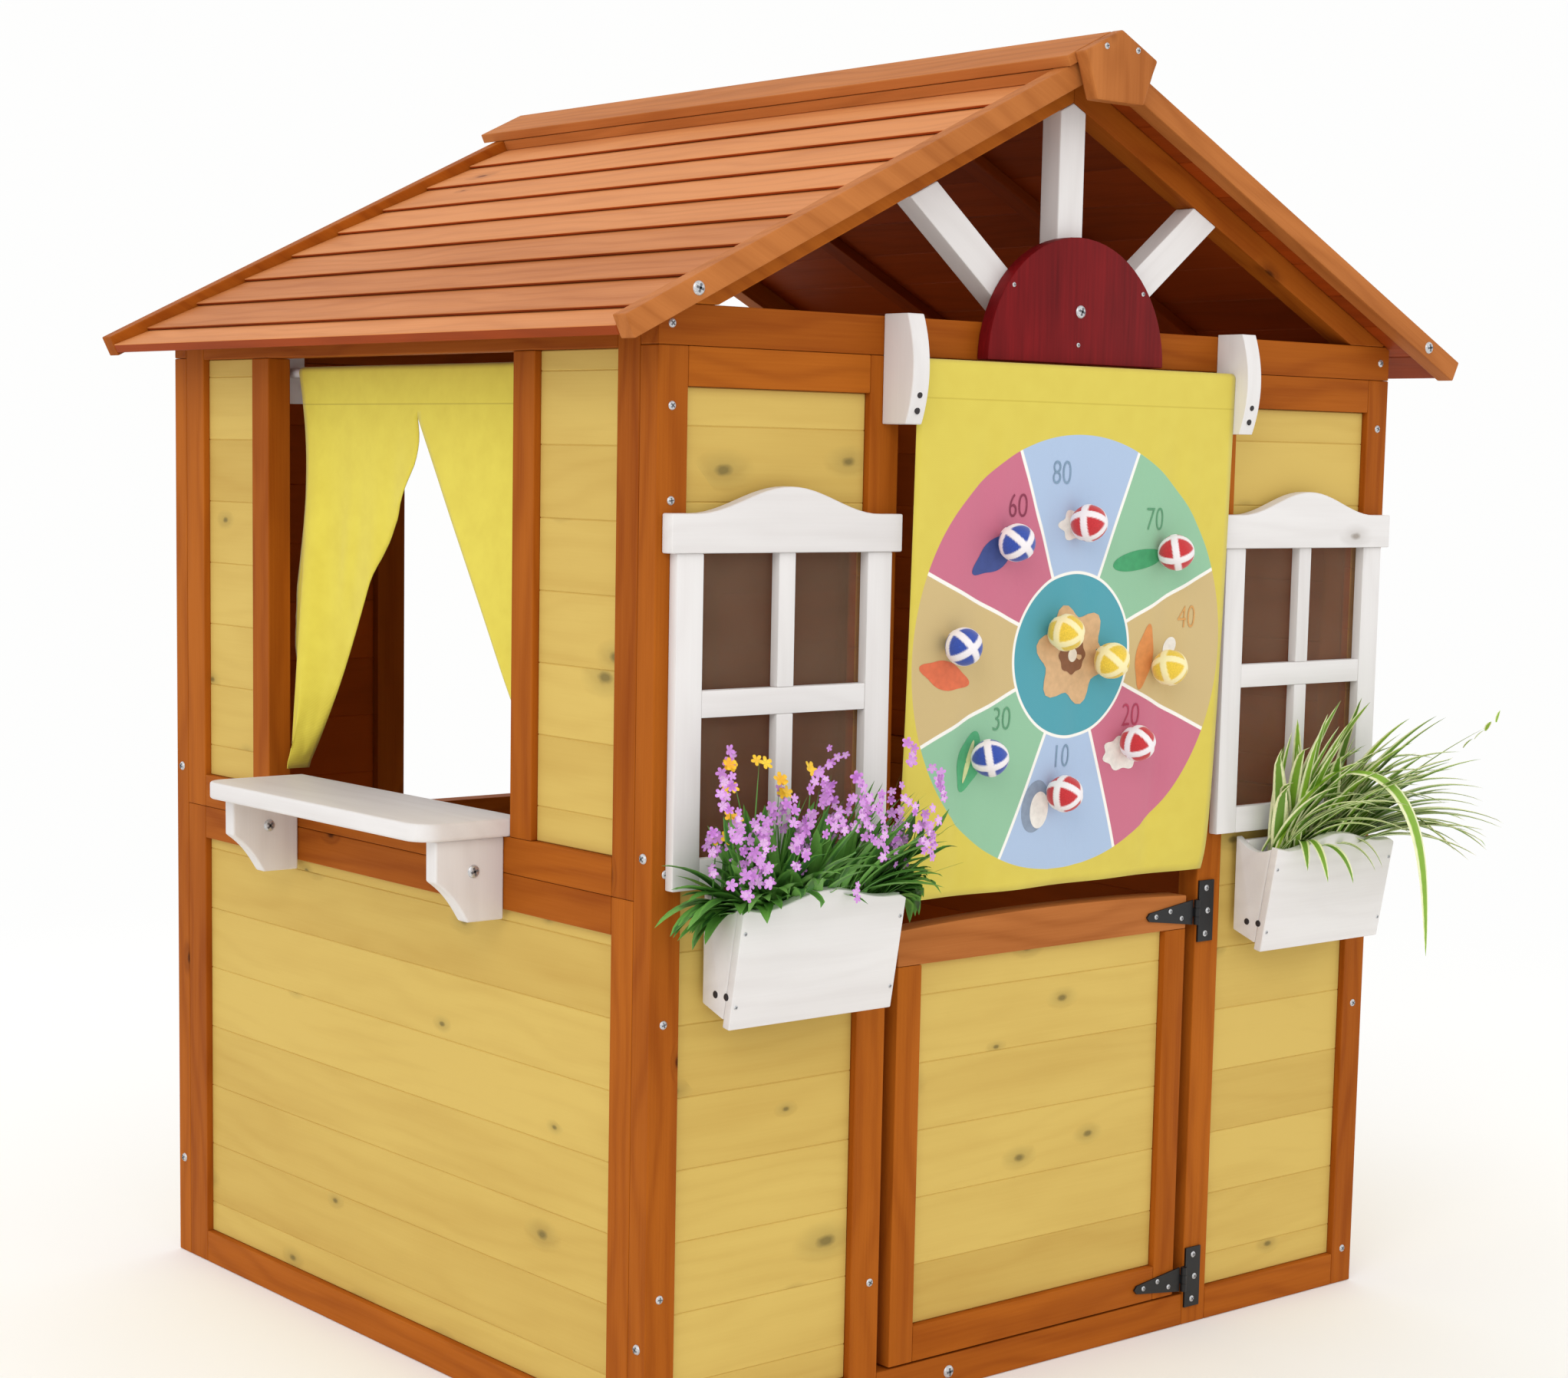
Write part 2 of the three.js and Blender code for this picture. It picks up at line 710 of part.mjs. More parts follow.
function roof() {
  for (const [word, side] of [
    ["left", -1],
    ["right", 1],
  ]) {
    slatPanel("roof_slats_" + word, side);
    bargeboard("front_bargeboard_" + word, side, bargeFront);
    bargeboard("rear_bargeboard_" + word, side, bargeRear - bargeThickness);
  }
  ridgeCap();
  ridgePlate();
  beam("front_beam", frontFace);
  beam("rear_beam", rearFace - wallThickness);
  rafters("front_rafters", frontFace, frontInner);
  rafters("rear_rafters", rearInner, rearFace);
}

// ---- Sun and rays -------------------------------------------------------------------------------------
function sunAndRays() {
  const base = wallHeight + touchGap;
  const half = new THREE.Shape();
  half.moveTo(sunRadius, base);
  half.absarc(0, base, sunRadius, 0, Math.PI, false);
  place("sun", prismAlongY(half, frontFace - touchGap - sunThickness, frontFace - touchGap), redWood);
  const top = slatBottom + touchGap + rafterHeight + touchGap;
  const attic = underRoof(top, frontFace - 1, frontInner + 1);
  const beamTop = wallHeight + beamHeight + touchGap;
  const above = box(-wallWidth, wallWidth, frontFace - 1, frontInner + 1, beamTop, 2 * wallHeight);
  for (const [name, degrees] of [
    ["ray_left", 180 - rayAngle],
    ["ray_centre", 90],
    ["ray_right", rayAngle],
  ]) {
    const start = degrees === 90 ? 0 : sunRadius - rayWidth;
    const bar = box(start, wallWidth, frontFace, frontFace + rayDepth, -rayWidth / 2, rayWidth / 2);
    bar.rotateY((-degrees * Math.PI) / 180).translate(0, 0, base);
    place(name, common(common(bar, attic), above), whiteWood);
  }
}

// ---- Shelf --------------------------------------------------------------------------------------------
function shelf() {
  const wall = -halfWidth;
  const y0 = frontFace + servingStart + 2 * touchGap;
  const bottom = seamHeight + railHeight + touchGap;
  const x0 = wall - shelfReach;
  place(
    "shelf_board",
    box(x0, wall + shelfInset, y0, y0 + shelfLength, bottom, bottom + shelfThickness),
    whiteWood,
  );
  const outline = new THREE.Shape();
  const back = wall - touchGap;
  const top = bottom - touchGap;
  const nose = top - shelfBracketNose;
  const foot = top - shelfBracketHeight;
  outline.moveTo(back, top);
  outline.lineTo(wall - shelfBracketDepth, top);
  outline.lineTo(wall - shelfBracketDepth, nose);
  outline.bezierCurveTo(
    wall - shelfBracketDepth + shelfBracketPull,
    nose - shelfBracketNoseFall,
    wall - shelfBracketFoot - shelfBracketPull,
    foot + shelfBracketFootRise,
    wall - shelfBracketFoot,
    foot,
  );
  outline.lineTo(back, foot);
  const front = y0 + shelfBracketEndInset;
  const rear = y0 + shelfLength - shelfBracketEndInset - shelfBracketThickness;
  place("shelf_bracket_front", prismAlongY(outline, front, front + shelfBracketThickness), whiteWood);
  place("shelf_bracket_rear", prismAlongY(outline, rear, rear + shelfBracketThickness), whiteWood);
}

// ---- Curtain ------------------------------------------------------------------------------------------
function curtain() {
  const inner = -halfWidth + wallThickness;
  const clothX = inner + curtainInset;
  const y0 = frontFace + servingStart - servingJambWidth / 2;
  const y1 = frontFace + servingStart + servingWidth + servingJambWidth / 2;
  const middle = (y0 + y1) / 2;
  const rodZ = curtainRodHeight;
  const hem = rodZ - curtainRodRadius - pocketWall;
  const outline = points([
    [y0, hem],
    [y0, curtainBottom],
    [y0 + curtainGather, curtainBottom],
    [middle, curtainSplit],
    [y1 - curtainGather, curtainBottom],
    [y1, curtainBottom],
    [y1, hem],
  ]);
  const sheet = prismAlongX(outline, clothX, clothX + curtainThickness);
  const clothMiddle = clothX + curtainThickness / 2;
  const pocket = curtainRodRadius + touchGap;
  const round = (radius, length) =>
    new THREE.CylinderGeometry(radius, radius, length, 20).translate(clothMiddle, middle, rodZ);
  const sleeve = round(pocket + pocketWall, y1 - y0);
  const bore = round(pocket, y1 - y0 + 2);
  place("curtain", cut(join(sheet, sleeve), bore), yellowCloth);
  const rodEnds = [y0 - touchGap, y1 + touchGap];
  const rod = round(curtainRodRadius, rodEnds[1] - rodEnds[0] + 2);
  const base = inner + touchGap;
  const low = rodZ - curtainBracketHeight / 2;
  const high = low + curtainBracketHeight;
  const bracket = (from, to) => box(base, base + curtainBracketDepth, from, to, low, high);
  place(
    "curtain_rail",
    join(
      rod,
      bracket(rodEnds[0] - curtainBracketThickness, rodEnds[0]),
      bracket(rodEnds[1], rodEnds[1] + curtainBracketThickness),
    ),
    whiteWood,
  );
}

// ---- Target -------------------------------------------------------------------------------------------
function rodAlongX(radius, from, to, y, z) {
  return new THREE.CylinderGeometry(radius, radius, to - from, 24)
    .rotateZ(Math.PI / 2)
    .translate((from + to) / 2, y, z);
}

function target() {
  const rodY = frontFace - targetRodReach;
  const half = targetWidth / 2;
  const pocket = targetRodRadius + touchGap;
  const cloth = box(
    -half,
    half,
    rodY - targetThickness / 2,
    rodY + targetThickness / 2,
    targetRodHeight - targetDrop,
    targetRodHeight,
  );
  const sleeve = rodAlongX(pocket + pocketWall, -half, half, rodY, targetRodHeight);
  const bore = rodAlongX(pocket, -half - 1, half + 1, rodY, targetRodHeight);
  place("target_cloth", cut(join(cloth, sleeve), bore), yellowCloth);
  const socket = targetBracketThickness / 2;
  const rodHalf = half + touchGap + socket;
  place("target_rod", rodAlongX(targetRodRadius, -rodHalf, rodHalf, rodY, targetRodHeight), whiteWood);
  const back = frontFace - touchGap;
  const low = targetBracketBase;
  const high = low + targetBracketHeight;
  const outline = new THREE.Shape();
  outline.moveTo(back, low);
  outline.lineTo(frontFace - targetBracketEnd, low);
  const bulge = 2 * targetBracketBelly - targetBracketEnd;
  outline.quadraticCurveTo(frontFace - bulge, (low + high) / 2, frontFace - targetBracketEnd, high);
  outline.lineTo(back, high);
  for (const [word, side] of [
    ["left", -1],
    ["right", 1],
  ]) {
    const from = side < 0 ? -half - touchGap - targetBracketThickness : half + touchGap;
    const hole = rodAlongX(pocket, -rodHalf - touchGap, rodHalf + touchGap, rodY, targetRodHeight);
    const plate = prismAlongX(outline, from, from + targetBracketThickness);
    place("target_bracket_" + word, cut(plate, hole), whiteWood);
  }
}

// ---- Door ---------------------------------------------------------------------------------------------
function archedRail(half, low, ends, rise, y0, y1) {
  const shape = new THREE.Shape();
  shape.moveTo(-half, low);
  shape.lineTo(half, low);
  shape.lineTo(half, ends);
  shape.quadraticCurveTo(0, ends + 2 * rise, -half, ends);
  return prismAlongY(shape, y0, y1);
}

function door() {
  const half = doorWidth / 2;
  const railLow = doorTop - doorTopRail;
  const member = (a, b, c, d) => standFront(a, b, 0, wallThickness, c, d);
  place(
    "door_frame",
    join(
      member(-half, -half + doorStile, doorBottom, doorTop - 1),
      member(half - doorStile, half, doorBottom, doorTop - 1),
      member(-half, half, doorBottom, doorBottom + doorBottomRail),
      archedRail(half, railLow, doorTop, doorArch, frontFace, frontFace + wallThickness),
    ),
    brownWood,
  );
  const inside = [-half + doorStile, half - doorStile];
  const opening = [doorBottom + doorBottomRail, railLow];
  place("door_boards", boardsOf(standFront, inside, opening, opening[0] + doorFirstBoard), yellowWood);
}

function hinge(word, z) {
  const y = frontFace - hingePinReach;
  const plateBack = frontFace - touchGap;
  const plateFront = plateBack - hingeLeafThickness;
  const third = hingeStrapRoot / 3;
  const barrel = (z0, z1) =>
    new THREE.CylinderGeometry(hingeBarrelRadius, hingeBarrelRadius, z1 - z0, 20)
      .rotateX(Math.PI / 2)
      .translate(hingePinX, y, (z0 + z1) / 2);
  const low = z - hingeStrapRoot / 2;
  const high = z + hingeStrapRoot / 2;
  const leafEdge = hingePinX + hingeBarrelRadius + hingePlateGap;
  const leafLow = z - hingeLeafHeight / 2;
  const leafEnd = hingePinX + hingeLeafWidth;
  const leaf = box(leafEdge, leafEnd, plateFront, plateBack, leafLow, leafLow + hingeLeafHeight);
  const knuckle = (z0, z1) => box(hingePinX, leafEdge + 1, plateFront, plateBack, z0, z1);
  place(
    "hinge_leaf_" + word,
    join(
      leaf,
      knuckle(low, low + third - touchGap),
      knuckle(high - third + touchGap, high),
      barrel(low, low + third - touchGap),
      barrel(high - third + touchGap, high),
    ),
    blackSteel,
  );
  const root = hingePinX - hingeBarrelRadius - hingePlateGap;
  const taperEnd = root - hingeStrapLength + hingeStrapPoint;
  const strap = prismAlongY(
    points([
      [root, low],
      [root, high],
      [taperEnd, z + hingeStrapTip / 2],
      [root - hingeStrapLength, z],
      [taperEnd, z - hingeStrapTip / 2],
    ]),
    plateFront,
    plateBack,
  );
  place(
    "hinge_strap_" + word,
    join(
      strap,
      box(root - 1, hingePinX, plateFront, plateBack, low + third, high - third),
      barrel(low + third, high - third),
    ),
    blackSteel,
  );
}

frontWall();
leftWall();
rightWall();
rearWall();
roof();
sunAndRays();
shelf();
curtain();
target();
door();
hinge("lower", hingeHeights[0]);
hinge("upper", hingeHeights[1]);

export default house;
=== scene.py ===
"""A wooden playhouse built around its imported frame: boards, slats, cloth, plants, hardware and finishes."""

import math
import random

import bmesh
import bpy
from mathutils import Matrix, Vector


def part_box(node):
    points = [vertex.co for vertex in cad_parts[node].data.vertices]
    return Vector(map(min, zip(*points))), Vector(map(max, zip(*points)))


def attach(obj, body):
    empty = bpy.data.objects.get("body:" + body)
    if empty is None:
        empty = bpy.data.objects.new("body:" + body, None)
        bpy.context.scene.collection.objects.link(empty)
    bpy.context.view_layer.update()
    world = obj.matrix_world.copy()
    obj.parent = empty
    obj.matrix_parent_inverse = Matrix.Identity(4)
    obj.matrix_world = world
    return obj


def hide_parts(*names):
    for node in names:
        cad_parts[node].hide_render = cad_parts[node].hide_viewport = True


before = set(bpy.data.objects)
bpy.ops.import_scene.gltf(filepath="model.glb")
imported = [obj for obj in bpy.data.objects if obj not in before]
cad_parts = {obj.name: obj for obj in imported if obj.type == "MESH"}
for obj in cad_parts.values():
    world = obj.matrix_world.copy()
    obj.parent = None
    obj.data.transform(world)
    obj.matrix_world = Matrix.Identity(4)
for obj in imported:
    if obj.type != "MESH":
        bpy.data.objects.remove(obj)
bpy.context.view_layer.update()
MM = 0.001
rng = random.Random(11)

# Sizes shared by many pieces, in metres
STILE, JAMB, REAR_STILE, RAIL = 34 * MM, 37 * MM, 40 * MM, 36 * MM
BOARD_PITCH = 69 * MM
DOOR_STILE, DOOR_BOTTOM_RAIL, DOOR_TOP_RAIL, DOOR_ARCH = 32 * MM, 37 * MM, 36 * MM, 6 * MM
WINDOW_STILE, WINDOW_MUNTIN = 31 * MM, 20 * MM
WINDOW_BOTTOM_RAIL, WINDOW_MID_RAIL = 28 * MM, 25 * MM
WINDOW_MID_HEIGHT, WINDOW_HEAD = 703 * MM, 853 * MM
PANE_LAP = 2 * MM
SLOPE = math.atan(0.494)
SLAT_DROP, SLAT_BOTTOM, LAP_STEP = 9.5 * MM, 19.5 * MM, 4 * MM
FIRST_SLAT, SLAT_PITCH = 51 * MM, 69.3 * MM
PLANTER_WALL = 10 * MM
PLANTER_HEIGHT, PLANTER_LEAN = 115 * MM, 20 * MM
PLANTER_FRONT = -53.5 * MM  # front face at the foot
PLANTER_TILT = math.atan(PLANTER_LEAN / PLANTER_HEIGHT)
HOUSE_MIDDLE = (0.0, 0.44)


# ---- Small helpers for node materials ----
def srgb(code):
    parts = [int(code[i : i + 2], 16) / 255 for i in (1, 3, 5)]
    linear = [c / 12.92 if c <= 0.04045 else ((c + 0.055) / 1.055) ** 2.4 for c in parts]
    return (*linear, 1.0)


class Finish:
    """A material and short calls that add nodes to it."""

    def __init__(self, name):
        self.material = bpy.data.materials.new(name)
        self.material.use_nodes = True
        self.tree = self.material.node_tree
        self.shader = self.tree.nodes["Principled BSDF"]

    def node(self, kind, inputs=None, **settings):
        made = self.tree.nodes.new(kind)
        for key, value in settings.items():
            setattr(made, key, value)
        for key, value in (inputs or {}).items():
            self.feed(made.inputs[key], value)
        return made

    def feed(self, socket, value):
        if isinstance(value, bpy.types.NodeSocket):
            self.tree.links.new(value, socket)
        else:
            socket.default_value = value

    def attribute(self, name, output="Vector"):
        return self.node("ShaderNodeAttribute", attribute_name=name).outputs[output]

    def scaled(self, vector, scale):
        return self.node("ShaderNodeMapping", {"Vector": vector, "Scale": scale}).outputs["Vector"]

    def noise(self, vector, scale, detail=3.0, roughness=0.5):
        inputs = {"Vector": vector, "Scale": scale, "Detail": detail, "Roughness": roughness}
        return self.node("ShaderNodeTexNoise", inputs).outputs["Fac"]

    def math(self, operation, a, b=0.0, c=0.0):
        return self.node("ShaderNodeMath", {0: a, 1: b, 2: c}, operation=operation).outputs[0]

    def step(self, value, low, high):
        inputs = {"Value": value, "From Min": low, "From Max": high}
        return self.node("ShaderNodeMapRange", inputs, clamp=True).outputs["Result"]

    def mix(self, factor, a, b, mode="MIX"):
        made = self.node("ShaderNodeMix", {0: factor, 6: a, 7: b}, data_type="RGBA", blend_type=mode)
        return made.outputs[2]

    def bump(self, height, strength, distance):
        inputs = {"Height": height, "Strength": strength, "Distance": distance}
        return self.node("ShaderNodeBump", inputs).outputs["Normal"]

    def finish(self, color, roughness, normal=None):
        self.feed(self.shader.inputs["Base Color"], color)
        self.feed(self.shader.inputs["Roughness"], roughness)
        if normal is not None:
            self.feed(self.shader.inputs["Normal"], normal)
        return self.material


def wood(
    name, pale, deep, knot, knot_share, spread, roughness=0.55, streak=0.5, relief=0.25, shine=0.08, back=None
):
    """Stained timber: rings and fibres along the grain, knots, and a tone of its own for each member.
    back is the stain on the faces that the attribute "inner" marks."""
    f = Finish(name)
    grain = f.attribute("grain")
    tone = f.attribute("tone", "Fac")
    warp = f.noise(f.scaled(grain, (2.5, 9, 9)), 1.0, 2.0)
    axes = f.node("ShaderNodeSeparateXYZ", {"Vector": grain})
    across = f.math("MULTIPLY_ADD", axes.outputs[2], 0.9, axes.outputs[1])
    knot_place = f.node("ShaderNodeCombineXYZ", {0: axes.outputs[0], 1: across})
    cells = f.node(
        "ShaderNodeTexVoronoi",
        {"Vector": f.scaled(knot_place.outputs[0], (6.5, 13.5, 0)), "Scale": 1.0},
        voronoi_dimensions="2D",
    )
    chance = f.node("ShaderNodeSeparateColor", {"Color": cells.outputs["Color"]})
    present = f.math("GREATER_THAN", chance.outputs[0], 1 - knot_share)
    size = f.math("MULTIPLY_ADD", chance.outputs[1], 1.6, 0.8)
    distance = f.math("MULTIPLY", cells.outputs["Distance"], size)
    wobble = f.noise(f.scaled(grain, (60, 110, 110)), 1.0, 2.0)
    distance = f.math("MULTIPLY_ADD", wobble, 0.05, distance)
    core = f.math("MULTIPLY", f.step(distance, 0.1, 0.055), present)
    halo = f.math("MULTIPLY", f.step(distance, 0.26, 0.06), present)
    phase = f.math("MULTIPLY_ADD", warp, 34.0, f.math("MULTIPLY", across, 240.0))
    phase = f.math("MULTIPLY_ADD", halo, 7.0, phase)
    rings = f.math("MULTIPLY_ADD", f.math("SINE", phase), 0.5, 0.5)
    rings = f.math("POWER", rings, 2.2)
    fibres = f.noise(f.scaled(grain, (9, 420, 420)), 1.0, 3.0, 0.6)
    broad = f.noise(f.scaled(grain, (3, 16, 16)), 1.0, 3.0)
    shade = f.math("MULTIPLY_ADD", rings, 0.3 * streak, f.math("MULTIPLY", fibres, 0.55 * streak))
    shade = f.math("MULTIPLY_ADD", f.math("SUBTRACT", broad, 0.42), 0.9, shade)
    shade = f.math("MULTIPLY_ADD", f.math("SUBTRACT", tone, 0.5), spread, shade)
    shade = f.node("ShaderNodeClamp", {"Value": shade}).outputs[0]
    color = f.mix(shade, pale, deep)
    color = f.mix(f.math("MULTIPLY", halo, 0.35), color, knot)
    color = f.mix(f.math("MULTIPLY", core, 0.8), color, knot)
    if back:
        inner = f.attribute("inner", "Fac")
        stained = f.mix(shade, srgb(back), tuple(c * 0.45 for c in srgb(back)[:3]) + (1.0,))
        color = f.mix(inner, color, stained)
    height = f.math("MULTIPLY_ADD", rings, -0.5, f.math("MULTIPLY", fibres, -0.8))
    rough = f.math("MULTIPLY_ADD", fibres, 0.18, roughness - 0.09)
    f.shader.inputs["Specular IOR Level"].default_value = shine
    return f.finish(color, rough, f.bump(height, relief, 0.4 * MM))


def painted(name, color, worn, roughness):
    """Paint over close-grained wood."""
    f = Finish(name)
    grain = f.attribute("grain")
    fibres = f.noise(f.scaled(grain, (10, 260, 260)), 1.0, 4.0, 0.6)
    broad = f.noise(f.scaled(grain, (7, 30, 30)), 1.0, 3.0)
    shade = f.step(f.math("MULTIPLY_ADD", fibres, 0.6, f.math("MULTIPLY", broad, 0.6)), 0.45, 0.85)
    f.shader.inputs["Specular IOR Level"].default_value = 0.1
    return f.finish(f.mix(shade, color, worn), roughness, f.bump(fibres, 0.2, 0.3 * MM))


def woven(name, color, deep, scale=1500.0):
    """Plain weave: warp and weft threads from two crossed sines, with soft mottling."""
    f = Finish(name)
    flat = f.attribute("flat")
    axes = f.node("ShaderNodeSeparateXYZ", {"Vector": flat})
    warp = f.math("SINE", f.math("MULTIPLY", axes.outputs[0], scale * 2))
    weft = f.math("SINE", f.math("MULTIPLY", axes.outputs[1], scale * 2))
    weave = f.math("MULTIPLY", warp, weft)
    mottle = f.noise(flat, 35.0, 4.0, 0.6)
    shade = f.math("MULTIPLY_ADD", weave, 0.1, f.math("MULTIPLY", mottle, 0.5))
    f.shader.inputs["Sheen Weight"].default_value = 0.15
    return f, f.mix(f.step(shade, 0.05, 0.55), color, deep), f.bump(weave, 0.12, 0.2 * MM)


def stain(name, pale, deep, knot, *values, **settings):
    return wood(name, srgb(pale), srgb(deep), srgb(knot), *values, **settings)


brown_wood = stain("brown_stain", "#b06019", "#803807", "#3c1804", 0.12, 0.4, 0.58, 0.75, 0.3, 0.06)
yellow_wood = stain(
    "yellow_stain", "#d3b562", "#b68f43", "#75663a", 0.4, 0.35, 0.65, 0.34, 0.2, 0.12, back="#b4540a"
)
roof_wood = stain(
    "roof_stain", "#d48a52", "#a55c28", "#6a3315", 0.05, 0.6, 0.6, 0.55, 0.3, 0.12, back="#9c3f09"
)
white_wood = stain("white_wash", "#e5e2e1", "#ccc6c4", "#94897f", 0.1, 0.3, 0.5, 0.4, 0.25, 0.2)
barge_wood = stain("barge_stain", "#c0763c", "#8f4c1c", "#56290f", 0.08, 0.3, 0.58, 0.7, 0.3)
red_wood = painted("red_paint", srgb("#7a1216"), srgb("#58090d"), 0.5)


def steel(name, color, roughness, metallic):
    f = Finish(name)
    place = f.node("ShaderNodeTexCoord").outputs["Object"]
    speckle = f.noise(place, 900.0, 3.0)
    f.shader.inputs["Metallic"].default_value = metallic
    deeper = tuple(c * 0.6 for c in color[:3]) + (1.0,)
    rough = f.math("MULTIPLY_ADD", speckle, 0.2, roughness - 0.1)
    return f.finish(f.mix(f.step(speckle, 0.3, 0.7), deeper, color), rough, f.bump(speckle, 0.15, 0.1 * MM))


black_steel = steel("black_powder_coat", srgb("#1c1c1e"), 0.42, 0.3)
bright_steel = steel("zinc_plate", srgb("#d9dadd"), 0.35, 0.6)
dark_hole = steel("dark_hole", srgb("#2b2528"), 0.7, 0.0)
# Screw slots: a darker grey than the zinc heads, painted shade of the slot recess
slot_shade_grey = steel("screw_slot_painted_shade", srgb("#77787c"), 0.6, 0.3)


def clear_pane():
    f = Finish("hazy_pane")
    place = f.node("ShaderNodeTexCoord").outputs["Object"]
    haze = f.noise(place, 9.0, 4.0)
    f.shader.inputs["Transmission Weight"].default_value = 0.92
    f.shader.inputs["IOR"].default_value = 1.1
    color = f.mix(f.step(haze, 0.35, 0.75), srgb("#e8cdb0"), srgb("#d3b394"))
    return f.finish(color, f.math("MULTIPLY_ADD", haze, 0.1, 0.04))


# ---- Mesh helpers ----
def sharp_edges(bm, least=25):
    limit = math.radians(least)
    return [e for e in bm.edges if len(e.link_faces) == 2 and e.calc_face_angle(0) > limit]


def soften(bm, width, segments=2):
    if width:
        edges = sharp_edges(bm)
        bmesh.ops.bevel(
            bm, geom=edges, offset=width, segments=segments, profile=0.6, affect="EDGES", clamp_overlap=True
        )
    return bm


def bar(low, high, bevel=1.3 * MM, segments=2):
    bm = bmesh.new()
    size = [b - a for a, b in zip(low, high)]
    middle = [(a + b) / 2 for a, b in zip(low, high)]
    bmesh.ops.create_cube(bm, size=1.0, matrix=Matrix.Translation(middle) @ Matrix.Diagonal((*size, 1)))
    return soften(bm, bevel, segments)


def slab(outline, depth, bevel=1.3 * MM, segments=2):
    """An outline in local x and y, made solid from z = 0 to depth."""
    bm = bmesh.new()
    base = [bm.verts.new((x, y, 0)) for x, y in outline]
    face = bm.faces.new(base)
    raised = bmesh.ops.extrude_face_region(bm, geom=[face])
    lifted = [v for v in raised["geom"] if isinstance(v, bmesh.types.BMVert)]
    bmesh.ops.translate(bm, vec=(0, 0, depth), verts=lifted)
    bmesh.ops.recalc_face_normals(bm, faces=bm.faces)
    return soften(bm, bevel, segments)


def node_solid(node, bevel=1.3 * MM, segments=2):
    """A node's own solid with its flat faces whole again and its edges softened."""
    bm = bmesh.new()
    bm.from_mesh(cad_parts[node].data)
    bmesh.ops.remove_doubles(bm, verts=bm.verts, dist=1e-5)
    bmesh.ops.dissolve_limit(bm, angle_limit=math.radians(0.5), verts=bm.verts, edges=bm.edges)
    return soften(bm, bevel, segments)


def frame_axes(x_axis, y_axis, z_axis, origin=(0, 0, 0)):
    rows = Matrix((x_axis, y_axis, z_axis)).transposed().to_4x4()
    rows.translation = origin
    return rows


XZ = frame_axes((1, 0, 0), (0, 0, 1), (0, 1, 0))  # outline x, y -> world x, z; depth along +Y
YZ = frame_axes((0, 1, 0), (0, 0, 1), (1, 0, 0))  # outline x, y -> world y, z; depth along +X
GRAIN_ORDER = {0: (0, 1, 2), 1: (1, 0, 2), 2: (2, 0, 1)}


class Piece:
    """Gathers solids into one mesh. Each keeps its own grain coordinates and tone."""

    def __init__(self):
        self.verts, self.faces, self.grain, self.tone = [], [], [], []
        self.outward = None

    def add(self, bm, along=0, place=None, tone=None):
        place = place or Matrix.Identity(4)
        shift = Vector([rng.uniform(-9, 9) for _ in range(3)])
        tone = rng.random() if tone is None else tone
        start = len(self.verts)
        bm.verts.index_update()
        turn = along if isinstance(along, Matrix) else None
        for v in bm.verts:
            self.verts.append(place @ v.co)
            local = turn @ v.co if turn else Vector([v.co[i] for i in GRAIN_ORDER[along]])
            self.grain.append(local + shift)
            self.tone.append(tone)
        order = -1 if place.determinant() < 0 else 1
        for face in bm.faces:
            self.faces.append([start + v.index for v in face.verts][::order])
        bm.free()
        return self

    def make(self, name, material, body, slot, *nodes, smooth=False):
        mesh = bpy.data.meshes.new(name)
        mesh.from_pydata(self.verts, [], self.faces)
        grain = mesh.attributes.new("grain", "FLOAT_VECTOR", "POINT")
        grain.data.foreach_set("vector", [c for v in self.grain for c in v])
        mesh.attributes.new("tone", "FLOAT", "POINT").data.foreach_set("value", self.tone)
        if self.outward:
            inner = [float(p.normal.dot(self.outward(p.center)) < 0.3) for p in mesh.polygons]
            mesh.attributes.new("inner", "FLOAT", "FACE").data.foreach_set("value", inner)
        mesh.materials.append(material)
        made = bpy.data.objects.new(name, mesh)
        bpy.context.scene.collection.objects.link(made)
        if smooth:
            mesh.shade_smooth()
            mesh.set_sharp_from_angle(angle=math.radians(smooth))
        return own(made, body, slot, *nodes)


def own(made, body, slot, *nodes):
    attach(made, body)
    if nodes:
        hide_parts(*nodes)
    return made


def whole(node, ending, material, slot, along=0, bevel=1.3 * MM, segments=2, body="house", smooth=False):
    """One piece that is a node's own solid with softened edges."""
    piece = Piece().add(node_solid(node, bevel, segments), along)
    return piece.make(node + ending, material, body, slot, node, smooth=smooth)


def sheet_object(name, verts, faces, flat, material, body, slot, *nodes):
    """A smooth surface whose material reads its flat, cut coordinates."""
    mesh = bpy.data.meshes.new(name)
    mesh.from_pydata(verts, [], faces)
    mesh.attributes.new("flat", "FLOAT_VECTOR", "POINT").data.foreach_set(
        "vector", [c for v in flat for c in (v[0], v[1], 0.0)]
    )
    mesh.materials.append(material)
    mesh.shade_smooth()
    made = bpy.data.objects.new(name, mesh)
    bpy.context.scene.collection.objects.link(made)
    return own(made, body, slot, *nodes)


# ---- Framed board panels ----
def spans(node):
    low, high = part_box(node)
    return Vector(low), Vector(high)


def between(low, high, across, a0, a1, z0, z1):
    """The corners of a box cut down to a0..a1 along one axis and z0..z1 in height."""
    one, two = low.copy(), high.copy()
    one[across], two[across], one[2], two[2] = a0, a1, z0, z1
    return one, two


